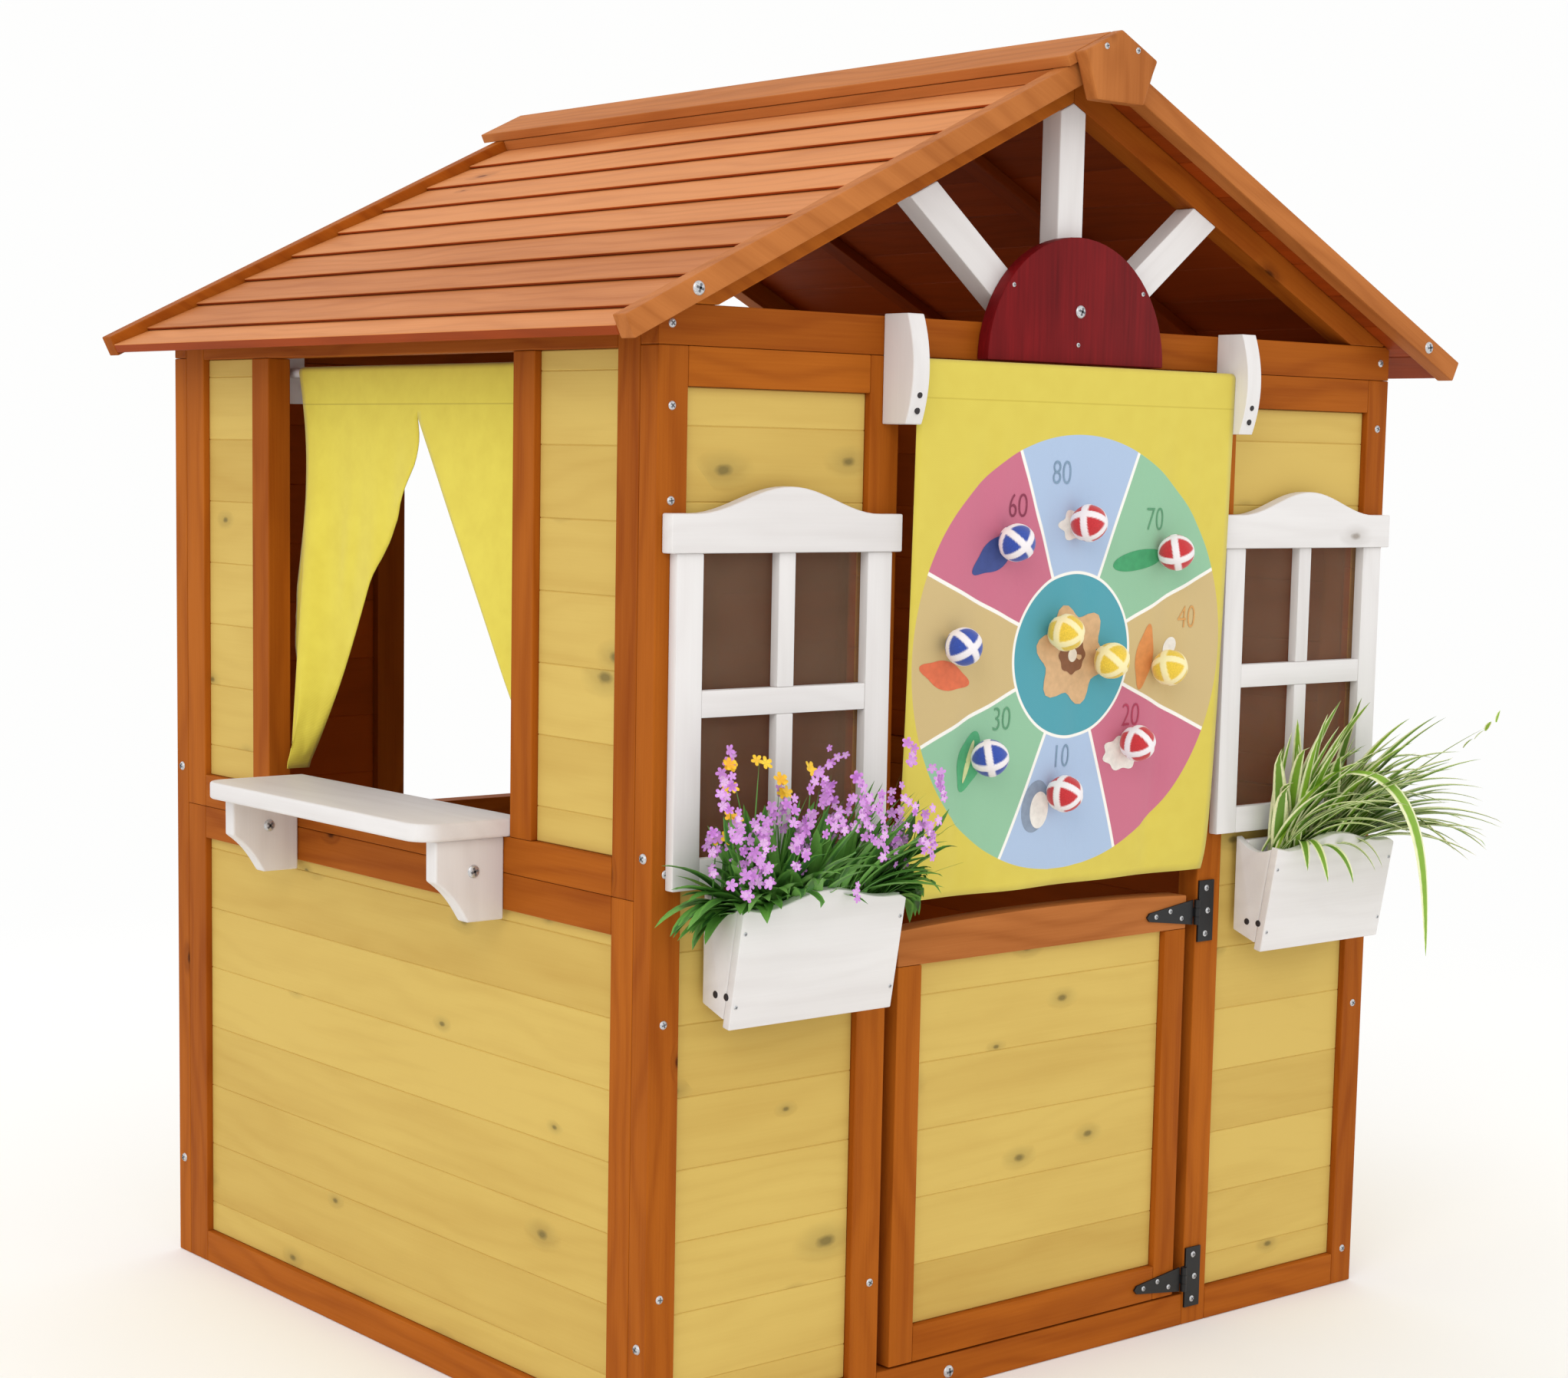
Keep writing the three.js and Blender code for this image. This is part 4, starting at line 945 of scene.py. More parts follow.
def wheel_cloth():
    f, plain, normal = woven("printed_cloth", srgb("#d9c851"), srgb("#cfba44"))
    flat = f.node("ShaderNodeSeparateXYZ", {"Vector": f.attribute("flat")})
    x, y = flat.outputs[0], f.math("SUBTRACT", WHEEL_DROP, flat.outputs[1])
    radius = f.math("SQRT", f.math("MULTIPLY_ADD", x, x, f.math("MULTIPLY", y, y)))
    eighth = math.pi / 4
    turn = f.math("DIVIDE", f.math("ADD", f.math("ARCTAN2", y, x), eighth / 2 + 2 * math.pi), eighth)
    turn = f.math("WRAP", turn, 8.0, 0.0)
    colors = f.node("ShaderNodeValToRGB", {"Fac": f.math("DIVIDE", turn, 8.0)})
    colors.color_ramp.interpolation = "CONSTANT"
    elements = colors.color_ramp.elements
    while len(elements) < len(SECTORS):
        elements.new(0.5)
    for i, word in enumerate(SECTORS):
        elements[i].position = i / len(SECTORS)
        elements[i].color = srgb(SECTOR_COLORS[word])
    part = f.math("FRACT", turn)
    nearest = f.math("MINIMUM", part, f.math("SUBTRACT", 1.0, part))
    line = f.math("MULTIPLY", radius, f.math("SINE", f.math("MULTIPLY", nearest, eighth)))
    white = srgb("#f4f1ea")
    wheel = f.mix(f.step(line, DIVIDER, DIVIDER * 0.7), colors.outputs["Color"], white)
    wheel = f.mix(f.step(radius, HUB_RADIUS + 3.4 * MM, HUB_RADIUS + 2.6 * MM), wheel, white)
    wheel = f.mix(f.step(radius, HUB_RADIUS + 0.3 * MM, HUB_RADIUS - 0.3 * MM), wheel, srgb("#4a9cab"))
    rim = f.step(radius, TARGET_RADIUS + 0.3 * MM, TARGET_RADIUS - 0.3 * MM)
    color = f.mix(rim, plain, wheel)
    stitch = f.math("LESS_THAN", f.math("ABSOLUTE", f.math("SUBTRACT", flat.outputs[1], 31 * MM)), 0.7 * MM)
    color = f.mix(f.math("MULTIPLY", stitch, 0.4), color, srgb("#b39a20"))
    return f.finish(color, 0.85, normal)


def target_cloth():
    """The cloth hangs over its rod: a short flap behind, the face in front."""
    low, high = spans("target_cloth")
    rod_low, rod_high = spans("target_rod")
    rod_y, rod_z = (rod_low[1] + rod_high[1]) / 2, (rod_low[2] + rod_high[2]) / 2
    width, drop = high[0] - low[0], rod_z - low[2]
    wrap, flap, columns, step = 6.2 * MM, 28 * MM, 58, 8.5 * MM
    rises = [flap * i / 3 for i in range(3)]
    path = [(rod_y + wrap, rod_z - flap + rise, -wrap * math.pi - flap + rise) for rise in rises]
    for a in arc(0, 180, 8):
        path.append((rod_y + wrap * math.cos(a), rod_z + wrap * math.sin(a), wrap * (a - math.pi)))
    held_rows = range(len(path))
    rows = int(drop / step)
    path += [(rod_y - wrap, rod_z - drop * i / rows, drop * i / rows) for i in range(1, rows + 1)]
    points, flat = [], []
    for y, z, v in path:
        hang = max(v, 0) / drop
        for c in range(columns):
            u = width * (c / (columns - 1) - 0.5)
            ripple = 2.2 * MM * math.sin(u * 46 + 1.3) + 1.6 * MM * math.sin(u * 23 - 0.4)
            depth = y + ripple * min(1, hang * 4) + TARGET_LEAN * hang
            points.append(Vector((u * (1 - TARGET_TAPER * hang), depth, z)))
            flat.append((u, v))
    faces = [tuple(reversed(f)) for f in grid_faces(len(path), columns)]
    sheet = Sheet(points, flat, faces)
    sheet.columns, sheet.rows = columns, len(path)
    held_rows = [*held_rows, len(path) - 1]
    sheet.hang([r * columns + c for r in held_rows for c in range(columns)], 24, 0.6)
    made = sheet.make("target_sheet", wheel_cloth(), "target", "yellow_cloth", 0.7 * MM, "target_cloth")
    return sheet


class Surface:
    """Places points given in flat cloth coordinates on the hung cloth."""

    def __init__(self, sheet):
        self.sheet, self.normal = sheet, sheet.normals()
        self.us = [sheet.flat[c][0] for c in range(sheet.columns)]
        self.vs = [sheet.flat[r * sheet.columns][1] for r in range(sheet.rows)]

    @staticmethod
    def cell(values, at):
        i = max(0, min(len(values) - 2, sum(1 for v in values if v <= at) - 1))
        return i, (at - values[i]) / (values[i + 1] - values[i])

    def at(self, u, v, lift):
        (c, s), (r, t) = self.cell(self.us, u), self.cell(self.vs, v)
        i = r * self.sheet.columns + c
        corners = ((i, (1 - s) * (1 - t)), (i + 1, s * (1 - t)), (i + self.sheet.columns, (1 - s) * t))
        corners += ((i + self.sheet.columns + 1, s * t),)
        point = sum((self.sheet.points[k] * w for k, w in corners), Vector())
        normal = sum((self.normal[k] * w for k, w in corners), Vector()).normalized()
        return point + normal * lift, normal


def print_material(name, color):
    f = Finish(name)
    place = f.node("ShaderNodeTexCoord").outputs["Object"]
    blot = f.noise(place, 140.0, 4.0)
    deep = tuple(c * 0.86 for c in srgb(color)[:3]) + (1.0,)
    return f.finish(f.mix(f.step(blot, 0.35, 0.7), srgb(color), deep), 0.8)


def ellipse(u, v, a, b, turn=0.0, bumps=0, depth=0.0):
    """A round print, with a wavy edge if it has bumps."""
    edge = []
    for t in arc(0, 360 - 360 / 48, 47):
        k = 1 + depth * math.cos(bumps * t)
        x, y = a * k * math.cos(t), b * k * math.sin(t)
        cos, sin = math.cos(turn), math.sin(turn)
        edge.append((u + x * cos - y * sin, v + x * sin + y * cos))
    return u, v, edge


def print_shapes(surface, name, color, shapes, lift):
    verts, faces = [], []
    rings = (0.0, 0.35, 0.7, 1.0)
    for u, v, edge in shapes:
        start, count = len(verts), len(edge)
        verts.append(surface.at(u * MM, v * MM, lift)[0])
        for k in rings[1:]:
            for x, y in edge:
                verts.append(surface.at((u + (x - u) * k) * MM, (v + (y - v) * k) * MM, lift)[0])
        for i in range(count):
            j = (i + 1) % count
            faces.append((start, start + 1 + i, start + 1 + j))
            for ring in (0, 1):
                a, b = start + 1 + ring * count, start + 1 + (ring + 1) * count
                faces.append((a + i, b + i, b + j, a + j))
    flat = [(0, 0)] * len(verts)
    sheet_object(name, verts, faces, flat, print_material(name, color), "target", "yellow_cloth")


def numbers(surface):
    for text, (u, v, ink) in NUMBERS.items():
        curve = bpy.data.curves.new("number", "FONT")
        curve.body, curve.size, curve.align_x, curve.align_y = text, 34 * MM, "CENTER", "CENTER"
        curve.offset = -0.0004
        carrier = bpy.data.objects.new("number", curve)
        bpy.context.scene.collection.objects.link(carrier)
        bpy.context.view_layer.update()
        mesh = bpy.data.meshes.new_from_object(carrier)
        bpy.data.objects.remove(carrier)
        mesh.name = "number_" + text
        for vertex in mesh.vertices:
            x, y = vertex.co.x * 0.8, vertex.co.y
            vertex.co = surface.at(u * MM + x, v * MM - y, 0.55 * MM)[0]
        mesh.materials.clear()
        mesh.materials.append(print_material("number_print_" + text, ink))
        made = bpy.data.objects.new("number_" + text, mesh)
        bpy.context.scene.collection.objects.link(made)
        own(made, "target", "yellow_cloth")


def prints(surface):
    """Plain shapes: leaves, clouds, pebbles and a flower in the hub."""
    layer = 0.3 * MM

    def put(name, color, shapes, height=1.0):
        print_shapes(surface, name, color, shapes, layer * height)

    put("print_navy", "#40508f", [ellipse(-114, 180, 33, 14, -0.55, 4, 0.1)])
    clouds = [
        ellipse(-4, 152, 22, 15, 0, 6, 0.14),
        ellipse(83, 388, 27, 17, 0.1, 7, 0.1),
        ellipse(-34, 440, 13, 19),
        ellipse(147, 279, 8, 11, 0.5),
    ]
    put("print_white", "#f1ece4", clouds)
    put("print_green", "#45a26c", [ellipse(90, 188, 34, 11, -0.15, 2, 0.08)])
    put("print_leaf_green", "#55b07a", [ellipse(-136, 385, 15, 29, 0.25, 4, 0.08)])
    put("print_lime", "#dfe6a6", [ellipse(-136, 385, 3, 22, 0.25)], 2)
    put("print_orange", "#e2714a", [ellipse(-176, 298, 33, 13, 0.25, 4, 0.1)])
    put("print_amber", "#dd8f4e", [ellipse(108, 288, 12, 32, 0.15, 4, 0.08)])
    put("print_grey", "#8c9bb0", [ellipse(-40, 436, 19, 27, 0.15)], 0.6)
    put("print_sand", "#d8b083", [ellipse(0, 283, 46, 46, 0.2, 6, 0.16)])
    put("print_brown", "#8a5a3c", [ellipse(0, 283, 19, 19, 0, 8, 0.06)], 2)
    put("print_cream", "#efe3cf", [ellipse(0, 283, 7, 7)], 3)


def balls(surface):
    """Soft balls with crossed bands of hook tape."""
    colors = {"blue": "#2f4fb0", "red": "#cf2b33", "yellow": "#f4cf3f"}
    radius, band = 18.3 * MM, 3.5 * MM
    finishes = {}
    for word, color in colors.items():
        f = Finish("felt_" + word)
        place = f.node("ShaderNodeTexCoord").outputs["Object"]
        fuzz = f.noise(place, 900.0, 3.0)
        mask = f.attribute("tone", "Fac")
        deep = tuple(c * 0.75 for c in srgb(color)[:3]) + (1.0,)
        body = f.mix(f.step(fuzz, 0.3, 0.7), srgb(color), deep)
        tape = srgb("#efe9ec") if word != "yellow" else srgb("#f6e9b0")
        f.shader.inputs["Sheen Weight"].default_value = 0.3
        finishes[word] = f.finish(f.mix(mask, body, tape), 0.85, f.bump(fuzz, 0.5, 0.4 * MM))
    for number, (word, u, v) in enumerate(BALLS):
        centre, _ = surface.at(u * MM, v * MM, radius + 0.6 * MM)
        bm = bmesh.new()
        bmesh.ops.create_icosphere(bm, subdivisions=5, radius=radius)
        turn = Matrix.Rotation(rng.uniform(-0.5, 0.5), 3, "Z")
        turn = turn @ Matrix.Rotation(rng.uniform(0.5, 1.1), 3, "Y")
        turn = turn @ Matrix.Rotation(rng.uniform(-0.4, 0.4), 3, "X")
        axes = [turn @ Vector(a) for a in ((1, 0, 0), (0, 1, 0), (0, 0, 1))]
        piece = Piece()
        tones = []
        for vertex in bm.verts:
            near = min(abs(vertex.co.dot(a)) for a in axes)
            tone = max(0.0, min(1.0, (band - near) / (0.8 * MM) + 0.5))
            vertex.co *= 1 + 0.03 * tone
            tones.append(tone)
        piece.add(bm, 0, Matrix.Translation(centre))
        piece.tone = tones
        piece.make(f"ball_{number + 1}_{word}", finishes[word], "target", "yellow_cloth", smooth=60)


# ---- Curtain ----
CURTAIN_SLIT = 0.108  # share of the drop that is not slit
CURTAIN_APEX = 14 * MM  # slit in front of the cloth's middle
# Edges as (share of the drop, distance from the middle of the cloth), rear positive
REAR_EDGE = [(0, 224), (0.06, 217), (0.15, 210), (0.24, 208), (0.33, 212)]
REAR_EDGE += [(0.45, 228), (0.56, 240), (0.7, 243), (1, 228)]
REAR_SLIT = [(0.108, -14), (0.18, -19), (0.237, -8), (0.337, 28)]
REAR_SLIT += [(0.54, 95), (0.717, 152), (0.857, 195), (1, 225)]
FRONT_SLIT = [(0.108, -14), (0.18, -33), (0.82, -208), (0.87, -222)]


def along_edge(stops, at):
    """A smooth curve through (share, value) stops, in metres."""
    slopes = []
    for i in range(len(stops)):
        a, b = stops[max(0, i - 1)], stops[min(len(stops) - 1, i + 1)]
        slopes.append((b[1] - a[1]) / (b[0] - a[0]))
    for i in range(len(stops) - 1):
        (t0, a), (t1, b) = stops[i], stops[i + 1]
        if at <= t1 or i == len(stops) - 2:
            h = t1 - t0
            k = max(0.0, min(1.0, (at - t0) / h))
            curve = a * (1 + 2 * k) * (1 - k) ** 2 + slopes[i] * h * k * (1 - k) ** 2
            curve += b * k * k * (3 - 2 * k) + slopes[i + 1] * h * k * k * (k - 1)
            return curve * MM
    return stops[-1][1] * MM


def curtain():
    """One cloth on a rod, slit up the middle. The rear flap is drawn back; the front one hangs flat."""
    low, high = spans("curtain")
    rail_low, rail_high = spans("curtain_rail")
    rod_z, rod_x = (rail_low[2] + rail_high[2]) / 2, (low[0] + high[0]) / 2
    middle, half = (low[1] + high[1]) / 2, (high[1] - low[1]) / 2
    wrap, flap, columns, rows = 6.4 * MM, 26 * MM, 30, 54
    drop = rod_z - low[2]
    rises = [flap * i / 3 for i in range(3)]
    path = [(rod_x + wrap, rod_z - flap + rise, -wrap * math.pi - flap + rise) for rise in rises]
    for a in arc(0, 180, 8):
        path.append((rod_x + wrap * math.cos(a), rod_z + wrap * math.sin(a), wrap * (a - math.pi)))
    heading = len(path)
    path += [(rod_x - wrap, rod_z - drop * i / rows, drop * i / rows) for i in range(1, rows + 1)]
    points, flat, faces, held = [], [], [], []
    spot = {}
    for side in (1, -1):
        end = rows if side > 0 else int(rows * FRONT_SLIT[-1][0])
        used = path[: heading + end]
        for r, (x, z, v) in enumerate(used):
            t = max(0.0, v) / drop
            if side > 0:
                outer, inner = along_edge(REAR_EDGE, t), along_edge(REAR_SLIT, t)
            else:
                outer, inner = -half, along_edge(FRONT_SLIT, t)
            if t <= CURTAIN_SLIT:
                inner = -CURTAIN_APEX
            free = max(0.0, min(1.0, (t - CURTAIN_SLIT) * 3.0))
            for c in range(columns):
                s = c / (columns - 1)
                roll = max(0.0, (s - 0.55) / 0.45)
                belly = math.sin(math.pi * s) * (13 if side > 0 else 2) * MM
                gather = math.sin(5.5 * math.pi * s + 0.6) * (2.2 if side > 0 else 0.8) * MM * t
                depth = free * ((roll * roll * 15 * MM if side > 0 else 0.0) - belly + gather)
                if c == columns - 1 and t <= CURTAIN_SLIT and side < 0:
                    spot[side, r, c] = spot[1, r, c]
                    continue
                spot[side, r, c] = len(points)
                points.append(Vector((x + depth, middle + outer + (inner - outer) * s, z)))
                slack = 1.0 if t <= CURTAIN_SLIT else 1.02
                flat.append((-outer - (inner - outer) * s * slack, v))
                if r < heading or t >= (rows - 1.5) / rows or (side < 0 and (c == 0 or r >= len(used) - 2)):
                    held.append(len(points) - 1)
        for r in range(len(used) - 1):
            for c in range(columns - 1):
                corners = ((r, c), (r, c + 1), (r + 1, c + 1), (r + 1, c))
                quad = [spot[(side, *corner)] for corner in corners]
                faces.append(tuple(quad if side < 0 else reversed(quad)))
    sheet = Sheet(points, flat, faces)
    sheet.hang(held, 8, 0.8)
    made = sheet.make("curtain_sheet", curtain_cloth, "house", "yellow_cloth", 0.8 * MM, "curtain")
    rail_pieces()


def rail_pieces():
    for node, along in (("curtain_rail", 1), ("target_rod", 0)):
        whole(node, "_wood", white_wood, "white_wood", along, 0.8 * MM, 1, smooth=40)


def plain_cloth():
    f, color, normal = woven("curtain_cloth", srgb("#e6d74e"), srgb("#d3bf3c"))
    drop = f.node("ShaderNodeSeparateXYZ", {"Vector": f.attribute("flat")}).outputs[1]
    stitch = f.math("LESS_THAN", f.math("ABSOLUTE", f.math("SUBTRACT", drop, 34 * MM)), 0.7 * MM)
    return f.finish(f.mix(f.math("MULTIPLY", stitch, 0.45), color, srgb("#a8932a")), 0.85, normal)


curtain_cloth = plain_cloth()


# ---- Plants ----
def leaf_material(name, inner, edge, deep):
    """across runs from 0 at the midrib to 1 at the edge; tone varies leaf by leaf."""
    f = Finish(name)
    across = f.attribute("grain")
    axes = f.node("ShaderNodeSeparateXYZ", {"Vector": across})
    tone = f.attribute("tone", "Fac")
    veins = f.noise(f.scaled(across, (40, 6, 1)), 1.0, 3.0)
    body = f.mix(f.step(tone, 0.0, 1.0), inner, deep)
    color = f.mix(f.step(axes.outputs[1], 0.52, 0.68), body, edge)
    color = f.mix(f.math("MULTIPLY", f.step(veins, 0.4, 0.8), 0.3), color, deep)
    f.shader.inputs["Subsurface Weight"].default_value = 0.12
    f.shader.inputs["Subsurface Radius"].default_value = (0.004, 0.006, 0.002)
    return f.finish(color, 0.5, f.bump(veins, 0.25, 0.3 * MM))


class Foliage:
    """Blades and petals gathered into one mesh with the attributes that leaf_material reads."""

    def __init__(self):
        self.verts, self.faces, self.grain, self.tone = [], [], [], []

    def blade(self, start, heading, length, width, droop, steps=9, fold=0.25, tone=None, side=None):
        tone = rng.random() if tone is None else tone
        p, d = Vector(start), Vector(heading).normalized()
        side = Vector(side) if side else d.cross(Vector((0, 0, 1)))
        side = side.normalized() if side.length > 0.05 else Vector((1, 0, 0))
        first = len(self.verts)
        for i in range(steps + 1):
            t = i / steps
            w = width / 2 * (math.sin(math.pi * min(1.0, 0.12 + 0.88 * t)) ** 0.7 if t < 1 else 0.02)
            lift = side.cross(d).normalized() * (w * fold)
            self.verts += [p - side * w + lift, p, p + side * w + lift]
            self.grain += [Vector((t, 1, tone)), Vector((t, 0, tone)), Vector((t, 1, tone))]
            self.tone += [tone] * 3
            p = p + d * (length / steps)
            d = (d + Vector((0, 0, -droop / steps))).normalized()
        for i in range(steps):
            a = first + 3 * i
            self.faces += [(a, a + 1, a + 4, a + 3), (a + 1, a + 2, a + 5, a + 4)]
        return p

    def blossom(self, at, facing, radius, petals=5, tone=None):
        tone = rng.random() if tone is None else tone
        facing = Vector(facing).normalized()
        across = facing.cross(Vector((0.3, 0.2, 1))).normalized()
        up = facing.cross(across)
        spin = rng.uniform(0, 6)
        for k in range(petals):
            a = spin + 2 * math.pi * k / petals
            out = across * math.cos(a) + up * math.sin(a)
            wide = facing.cross(out)
            first = len(self.verts)
            shape = [(0, 0, 0), (0.45, 0.3, 0.1), (0.85, 0.26, 0.2), (1.0, 0, 0.18)]
            shape += [(0.85, -0.26, 0.2), (0.45, -0.3, 0.1)]
            for x, y, z in shape:
                self.verts.append(Vector(at) + (out * x + wide * y + facing * z) * radius)
                self.grain.append(Vector((x, x, tone)))
                self.tone.append(tone)
            self.faces += [(first, first + 1, first + 2, first + 3), (first, first + 3, first + 4, first + 5)]

    def make(self, name, material, *nodes):
        mesh = bpy.data.meshes.new(name)
        mesh.from_pydata(self.verts, [], self.faces)
        mesh.attributes.new("grain", "FLOAT_VECTOR", "POINT").data.foreach_set(
            "vector", [c for v in self.grain for c in v]
        )
        mesh.attributes.new("tone", "FLOAT", "POINT").data.foreach_set("value", self.tone)
        mesh.materials.append(material)
        mesh.shade_smooth()
        made = bpy.data.objects.new(name, mesh)
        bpy.context.scene.collection.objects.link(made)
        return own(made, "house", "artificial_plants", *nodes)


def flowers():
    low, high = spans("flowers")
    box_low, box_high = spans("left_planter")
    wall = high[1] - 4 * MM
    soil = 520 * MM
    leaves, purple, yellow = Foliage(), Foliage(), Foliage()
    middle, half = (box_low[0] + box_high[0]) / 2, (box_high[0] - box_low[0]) / 2 - 14 * MM

    def keep(p):
        """Foliage stays off the wall and out of the doorway."""
        x = max(low[0] + 3 * MM, min(high[0] + 5 * MM, p.x))
        return Vector((x, max(low[1], min(wall - 2 * MM, p.y)), p.z))

    def root(share):
        return Vector((middle + share * half, rng.uniform(-60, -32) * MM, soil))

    def fan(count, low_rise, high_rise, reach, width, droop):
        for _ in range(count):
            share = rng.uniform(-1, 1)
            sideways = share * 0.75 + rng.uniform(-0.4, 0.4)
            heading = (sideways, rng.uniform(-0.8, -0.05), rng.uniform(low_rise, high_rise))
            length, wide = rng.uniform(*reach) * MM, rng.uniform(*width) * MM
            leaves.blade(root(share), heading, length, wide, rng.uniform(*droop), 9, fold=0.35)

    fan(120, 0.55, 1.3, (62, 118), (10, 16), (0.3, 1.5))
    fan(70, 0.9, 1.8, (75, 128), (9, 14), (0.1, 1.0))
    for side in (-1, 1):
        for _ in range(26):
            heading = (side * rng.uniform(0.7, 1.2), rng.uniform(-0.3, 0.0), rng.uniform(0.35, 1.1))
            length = rng.uniform(60, 112 if side < 0 else 84) * MM
            start, wide = root(side * 0.95), rng.uniform(11, 17) * MM
            leaves.blade(start, heading, length, wide, rng.uniform(0.6, 2.0), 9, fold=0.35)
    stems = 66
    for stem in range(stems):
        share = -1 + 2 * (stem + rng.random()) / stems
        lift = rng.uniform(0.55, 1.3)
        heading = Vector((share * 0.55 + rng.uniform(-0.35, 0.3), rng.uniform(-0.7, -0.05), lift))
        length = rng.uniform(60, 140) * MM
        tip = leaves.blade(root(share), heading, length, 2.0 * MM, rng.uniform(0.0, 1.0), 6, tone=0.3)
        spike = rng.randint(3, 7)
        for k in range(spike):
            at = tip + Vector((rng.uniform(-8, 8), rng.uniform(-7, 5), -k * rng.uniform(4, 7) + 5)) * MM
            facing = Vector((rng.uniform(-0.8, 0.3), -1, rng.uniform(-0.6, 0.6)))
            if at.x < high[0] - 4 * MM and at.y < wall - 8 * MM:
                purple.blossom(at, facing, rng.uniform(3.8, 6.8) * MM)
    daffodils = [(-462, 662), (-464, 642), (-462, 616), (-430, 668)]
    daffodils += [(-404, 646), (-398, 634), (-366, 652), (-474, 598)]
    for x, z in daffodils:
        for _ in range(2):
            sideways, depth = rng.uniform(-4, 4) * MM, rng.uniform(-72, -55) * MM
            at = (x * MM + sideways, depth, z * MM + rng.uniform(-4, 4) * MM)
            yellow.blossom(at, (rng.uniform(-0.5, 0.3), -1, 0.6), rng.uniform(6, 8) * MM)
        leaves.blade((x * MM, -50 * MM, soil), (0, -0.08, 1), (z - 520) * MM, 2 * MM, 0.0, 5, tone=0.4)
    for group in (leaves, purple, yellow):
        group.verts = [keep(v) for v in group.verts]
    leaves.make("flower_leaves", leaf_green, "flowers")
    purple.make("flower_blossoms_purple", petal_purple)
    yellow.make("flower_blossoms_yellow", petal_yellow)


def spider_plant():
    low, high = spans("spider_plant")
    box_low = spans("right_planter")[0]
    blades = Foliage()
    wall = high[1] - 4 * MM
    soil = 515 * MM

    def root(share):
        return Vector((box_low[0] + (13 + 107 * share) * MM, rng.uniform(-58, -34) * MM, soil))

    for _ in range(78):
        right = rng.random()
        heading = Vector((-0.22 + 1.0 * right, rng.uniform(-0.6, -0.02), rng.uniform(0.75, 1.5)))
        length = rng.uniform(110, 205) * MM * (0.8 + 0.35 * right)
        at, wide = root(rng.random()), rng.uniform(12, 17) * MM
        blades.blade(at, heading, length, wide, rng.uniform(0.5, 1.9), 13, 0.35)
    for _ in range(22):
        heading = Vector((rng.uniform(0.7, 1.1), rng.uniform(-0.7, -0.1), rng.uniform(0.5, 1.0)))
        length = rng.uniform(170, 225) * MM
        blades.blade(root(1.0), heading, length, rng.uniform(10, 14) * MM, rng.uniform(0.6, 1.6), 16, 0.35)
    for _ in range(5):
        heading = Vector((rng.uniform(-0.5, 0.5), rng.uniform(-0.8, -0.4), 0.9))
        length = rng.uniform(80, 120) * MM
        at, wide = root(rng.random()), rng.uniform(10, 13) * MM
        blades.blade(at, heading, length, wide, rng.uniform(2.2, 3.2), 14, 0.35)
    start = Vector((box_low[0] + 62 * MM, -48 * MM, soil + 22 * MM))
    heading = Vector((0.132, -0.15, 1.0))
    blades.blade(start, heading, 345 * MM, 17 * MM, 7.1, 26, 0.35, tone=0.2, side=(0.97, -0.1, 0.2))
    twig = Vector((box_low[0] + 100 * MM, -50 * MM, soil))
    tip = blades.blade(twig, (1.2, -0.3, 1.05), 262 * MM, 4 * MM, 0.4, 16, fold=0.1, tone=0.9)
    for k in range(4):
        at = tip - Vector((0.83, -0.2, 0.52)) * 18 * k * MM
        facing = (rng.uniform(-0.3, 1), rng.uniform(-0.5, 0.3), 0.8)
        blades.blade(at, facing, 15 * MM, 7 * MM, 0.5, 4, tone=0.0)

    def keep(p):
        y = min(wall - 1 * MM, p.y) if p.z > 540 * MM else p.y
        return Vector((max(low[0] - 2 * MM, min(high[0] + 4 * MM, p.x)), max(low[1] + 1 * MM, y), p.z))

    blades.verts = [keep(v) for v in blades.verts]
    blades.make("spider_plant_blades", striped_green, "spider_plant")


leaf_green = leaf_material("flower_leaf", srgb("#7ab450"), srgb("#6ba646"), srgb("#336b29"))
striped_green = leaf_material("striped_leaf", srgb("#8fb832"), srgb("#f2f4c4"), srgb("#5c8a24"))
petal_purple = leaf_material("petal_purple", srgb("#edc4ee"), srgb("#d68ee0"), srgb("#bf6ecd"))
petal_yellow = leaf_material("petal_yellow", srgb("#fbdc3a"), srgb("#f8c820"), srgb("#f4b01c"))


walls()
roof()
gable()
shelf()
for side_word in ("left", "right"):
    window(side_word)
    planter(side_word)
panes()
door()
hinges()
hardware()
dimples()
target_surface = Surface(target_cloth())
prints(target_surface)
numbers(target_surface)
balls(target_surface)
curtain()
flowers()
spider_plant()


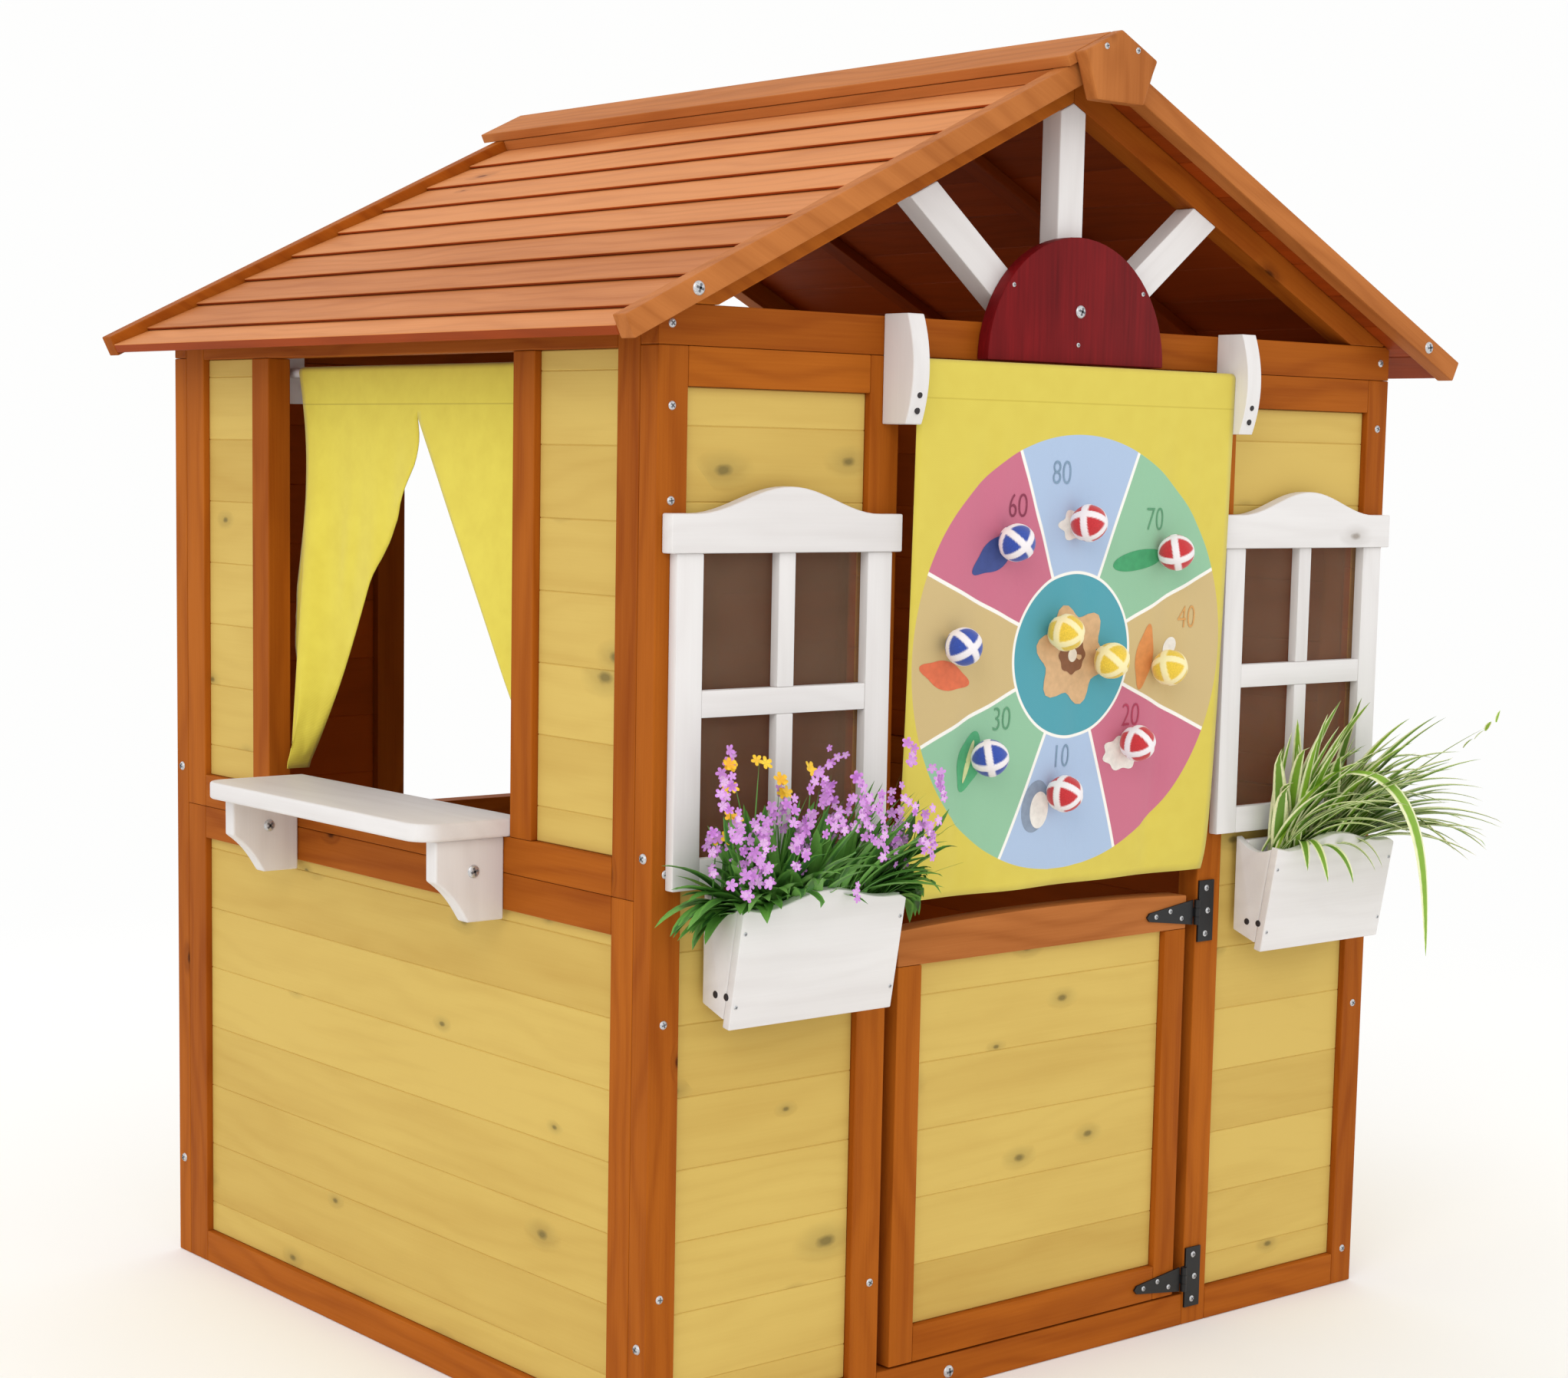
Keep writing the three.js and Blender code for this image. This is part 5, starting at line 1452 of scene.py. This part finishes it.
# ---- Camera, floor and light ----
def camera():
    data = bpy.data.cameras.new("camera")
    made = bpy.data.objects.new("camera", data)
    bpy.context.scene.collection.objects.link(made)
    data.lens = 64.1
    data.sensor_width = 36.0
    data.shift_x, data.shift_y = -0.0008, 0.0597
    azimuth, pitch, roll = math.radians(39.92), math.radians(-6.643), math.radians(1.107)
    level = math.cos(pitch)
    forward = Vector((math.sin(azimuth) * level, math.cos(azimuth) * level, math.sin(pitch)))
    right = forward.cross(Vector((0, 0, 1))).normalized()
    up = right.cross(forward)
    tilted_right = right * math.cos(roll) + up * math.sin(roll)
    tilted_up = up * math.cos(roll) - right * math.sin(roll)
    made.matrix_world = frame_axes(tilted_right, tilted_up, -forward, (-2.0358, -2.0182, 0.9407))
    bpy.context.scene.camera = made


def studio():
    scene = bpy.context.scene
    scene.view_settings.view_transform = "Standard"
    world = bpy.data.worlds.new("studio")
    world.use_nodes = True
    world.node_tree.nodes["Background"].inputs["Color"].default_value = (1.0, 1.0, 0.995, 1)
    world.node_tree.nodes["Background"].inputs["Strength"].default_value = 0.99
    scene.world = world
    bpy.ops.mesh.primitive_plane_add(size=60, location=(0, 0, -0.5 * MM))
    floor = bpy.context.object
    floor.name = "floor"
    f = Finish("pale_floor")
    place = f.node("ShaderNodeTexCoord").outputs["Object"]
    far = f.node("ShaderNodeVectorMath", {0: place}, operation="LENGTH").outputs["Value"]
    glow = f.step(far, 0.9, 3.2)
    mottle = f.noise(place, 0.8, 2.0)
    near = f.mix(f.step(mottle, 0.2, 0.8), srgb("#f6f6f4"), srgb("#f2f2f0"))
    f.shader.inputs["Emission Color"].default_value = (1.0, 1.0, 0.995, 1)
    f.feed(f.shader.inputs["Emission Strength"], f.math("MULTIPLY_ADD", glow, 0.92, 0.07))
    f.shader.inputs["Specular IOR Level"].default_value = 0.0
    floor.data.materials.append(f.finish(f.mix(glow, near, (0.0, 0.0, 0.0, 1.0)), 1.0))
    for name, at, size, power, color in (
        ("key", (-3.6, -2.35, 3.2), 2.6, 52, (1.0, 0.98, 0.94)),
        ("fill", (3.4, -2.8, 2.2), 3.0, 12, (1.0, 0.99, 0.98)),
        ("back", (-1.0, 3.5, 3.2), 3.0, 14, (1.0, 1.0, 1.0)),
    ):
        light = bpy.data.lights.new(name, "AREA")
        light.energy, light.size, light.color = power, size, color
        lamp = bpy.data.objects.new(name, light)
        bpy.context.scene.collection.objects.link(lamp)
        lamp.location = at
        lamp.rotation_mode = "QUATERNION"
        lamp.rotation_quaternion = (Vector((0, 0.4, 0.6)) - Vector(at)).to_track_quat("-Z", "Y")


camera()
studio()
